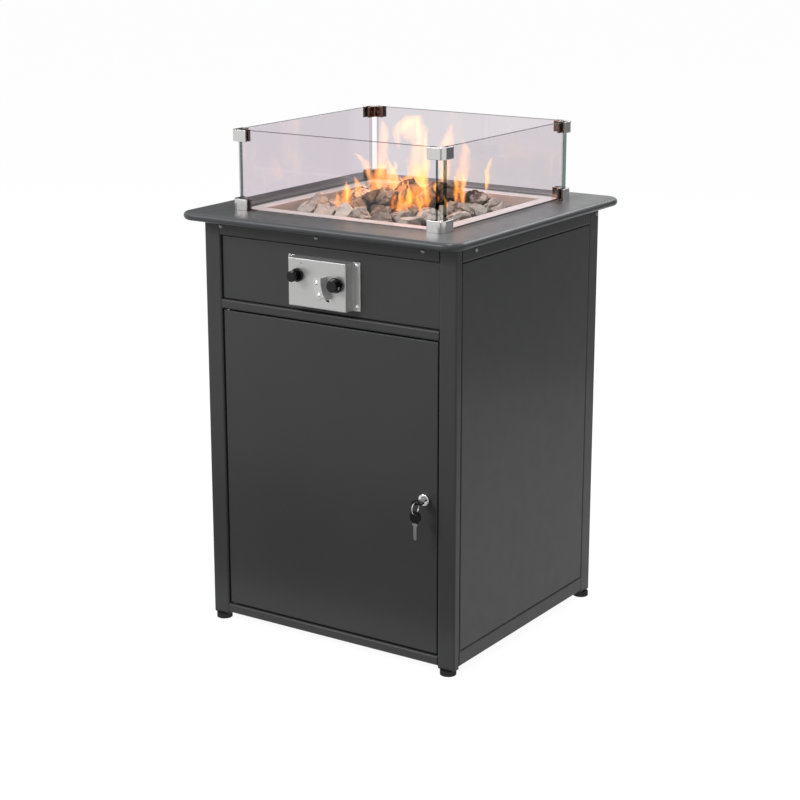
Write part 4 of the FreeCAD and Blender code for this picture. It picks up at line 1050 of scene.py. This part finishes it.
# %% [markdown]
# A smooth curve through the rows gives the spine. Rings of points are laid square to it,
# and a slow noise and a finer one push them about, so that no tongue is as round as a turned
# bottle. Every skin is closed at both ends, so its mesh is a clean solid.

# %% Build a tongue
skins = (1.0, 0.84, 0.68, 0.52, 0.36, 0.2)
ring_points = 20
rings_per_row = 6
flame_flatness = 0.72
flame_ceiling = 0.7852
tall_waver = 0.3
low_waver = 0.55
wave_reach, wave_grain = 12, 0.05
fine_reach, fine_grain = 16, 0.13
spine_step = 0.02
thinnest = 0.4


def curve_through(rows, share):
    """A row between the given rows, on a smooth curve through them."""
    spot = share * (len(rows) - 1)
    index = min(int(spot), len(rows) - 2)
    t = spot - index
    four = [Vector(rows[min(max(index + k, 0), len(rows) - 1)]) for k in (-1, 0, 1, 2)]
    return (four[1] + (four[2] - four[0]) * (0.5 * t)
            + (four[0] * 2 - four[1] * 5 + four[2] * 4 - four[3]) * (0.5 * t * t)
            + (four[1] * 3 - four[2] * 3 + four[3] - four[0]) * (0.5 * t * t * t))


def tongue(name, depth, rows, draw):
    """One flame of nested closed skins, with its colour and density painted on."""
    tall = rows[-1][1] > tall_from
    rim, core = (tall_rim, tall_core) if tall else (low_rim, low_core)
    waver = tall_waver if tall else low_waver
    shift = any_shift(draw)
    count = (len(rows) - 1) * rings_per_row
    points = []
    faces = []
    paint = []
    for size in skins:
        first = len(points)
        for step in range(count + 1):
            share = step / count
            across, height, half = curve_through(rows, share)
            ahead = curve_through(rows, min(1.0, share + spine_step))
            back = curve_through(rows, max(0.0, share - spine_step))
            along = across_way * (ahead[0] - back[0]) + Vector((0, 0, ahead[1] - back[1]))
            side = depth_way.cross(along.normalized())
            middle = across_way * across + depth_way * depth + Vector((0, 0, height))
            half = max(thinnest, half) * size
            colour = colour_at(height, rim).lerp(colour_at(height, core),
                                                 min(1.0, 1.2 * (1 - size)))
            for turn in range(ring_points):
                angle = 2 * math.pi * turn / ring_points
                round_way = side * math.cos(angle) + depth_way * (flame_flatness * math.sin(angle))
                wave = noise.noise((middle + round_way * wave_reach) * wave_grain + shift)
                fine = noise.noise((middle + round_way * fine_reach) * fine_grain + shift)
                reach = half * (1 + waver * wave + 0.7 * waver * fine)
                point = (middle + round_way * reach) / 1000
                point.z = min(point.z, flame_ceiling)
                points.append(point)
                paint += [*colour, skin_alpha(share, size, height, tall)]
        for step in range(count):
            for turn in range(ring_points):
                a = first + step * ring_points + turn
                b = first + step * ring_points + (turn + 1) % ring_points
                faces.append((a, b, b + ring_points, a + ring_points))
        faces.append([first + turn for turn in reversed(range(ring_points))])
        last = first + count * ring_points
        faces.append([last + turn for turn in range(ring_points)])
    mesh = bpy.data.meshes.new(name)
    mesh.from_pydata(points, [], faces)
    heat = mesh.color_attributes.new("flame_heat", "FLOAT_COLOR", "POINT")
    heat.data.foreach_set("color", paint)
    mesh.shade_smooth()
    return add_object(name, mesh)


print(len(skins), "skins a tongue")

# %% [markdown]
# The finish of a flame only glows: a black shader with no shine, with the painted colour as
# its own light. A noise drawn out upwards breaks the density into streaks, and a finer one
# pulls threads of hot yellow through the orange.

# %% Flame finish
flame_strength = 3.0
hot_streak = (1.0, 0.5, 0.2)
streak_density = (0.3, 1.5)


def flame_finish():
    material, tree, shader = new_finish("flame_skin", {
        "Base Color": (0, 0, 0, 1), "Specular IOR Level": 0.0, "Roughness": 1.0,
        "Emission Strength": flame_strength})
    painted = add_node(tree, "Attribute", attribute_name="flame_heat").outputs
    hot = add_node(tree, "VectorMath", {0: painted["Color"], 1: hot_streak},
                   operation="MAXIMUM")
    threads = between(tree, grain(tree, 150.0, 3.0, (1, 1, 0.2)), 0.0, 1.0, 0.5, 0.68)
    streaks = between(tree, grain(tree, 95.0, 4.0, (1, 1, 0.22)), *streak_density, 0.36, 0.64)
    fill(shader, {
        "Emission Color": blend_colours(tree, threads, painted["Color"], hot.outputs[0]),
        "Alpha": calc(tree, "MULTIPLY", painted["Alpha"], streaks)})
    return material


flame_glow = flame_finish()
print("flames shine at", flame_strength)

# %% [markdown]
# Between the large tongues flicker many short ones. They are drawn by chance from a fixed
# seed, so each run gives the same fire.

# %% Small licks
lick_seed = 7
lick_count = 16
lick_foot, lick_height = (664, 676), (14, 34)
lick_across, lick_depth = (-95, 95), (-62, 62)
lick_drift, lick_bend = (-5, 5), (-1.2, 1.2)
lick_half = (2.5, 5.5)
lick_outline = ((0, 0.7), (0.25, 1.0), (0.5, 0.85), (0.75, 0.5), (1, 0.12))


def small_lick(draw):
    """The depth and rows of a short flame somewhere in the heap, with a drifting tip."""
    foot, tip, across, drift, half = (draw.uniform(*limits) for limits in (
        lick_foot, lick_height, lick_across, lick_drift, lick_half))
    rows = []
    for share, width in lick_outline:
        bend = drift * share * share + draw.uniform(*lick_bend)
        rows.append((across + bend, foot + tip * share, half * width))
    return draw.uniform(*lick_depth), tuple(rows)


draw = random.Random(lick_seed)
for index in range(lick_count):
    flames["lick_%02d" % (index + 1)] = small_lick(draw)
print(lick_count, "small licks,", len(flames), "flames in all")

# %% [markdown]
# Each tongue is built and rides on the frame. Flames cast no shadow, so that is switched off
# for them. What they light is left to two warm lamps over the heap, which mirrors don't see.

# %% Light the flames
flame_glow_watts = 0.7
flame_lamp_colour = (1.0, 0.42, 0.11)


def light_flame(name, depth, rows):
    piece = tongue(name, depth, rows, draw)
    piece.data.materials.append(flame_glow)
    piece.visible_shadow = False
    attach(piece, "frame")


def glow_lamp(name, place, watts):
    data = bpy.data.lights.new(name, "POINT")
    data.color = flame_lamp_colour
    data.energy = watts
    data.shadow_soft_size = 0.03
    lamp = add_object(name, data)
    lamp.location = place
    lamp.visible_glossy = False


for name, (depth, rows) in flames.items():
    light_flame(name, depth, rows)
glow_lamp("heap_glow", (0.0, -0.03, 0.714), flame_glow_watts)
glow_lamp("rear_glow", (-0.04, 0.06, 0.72), flame_glow_watts * 0.5)
print("flames lit")
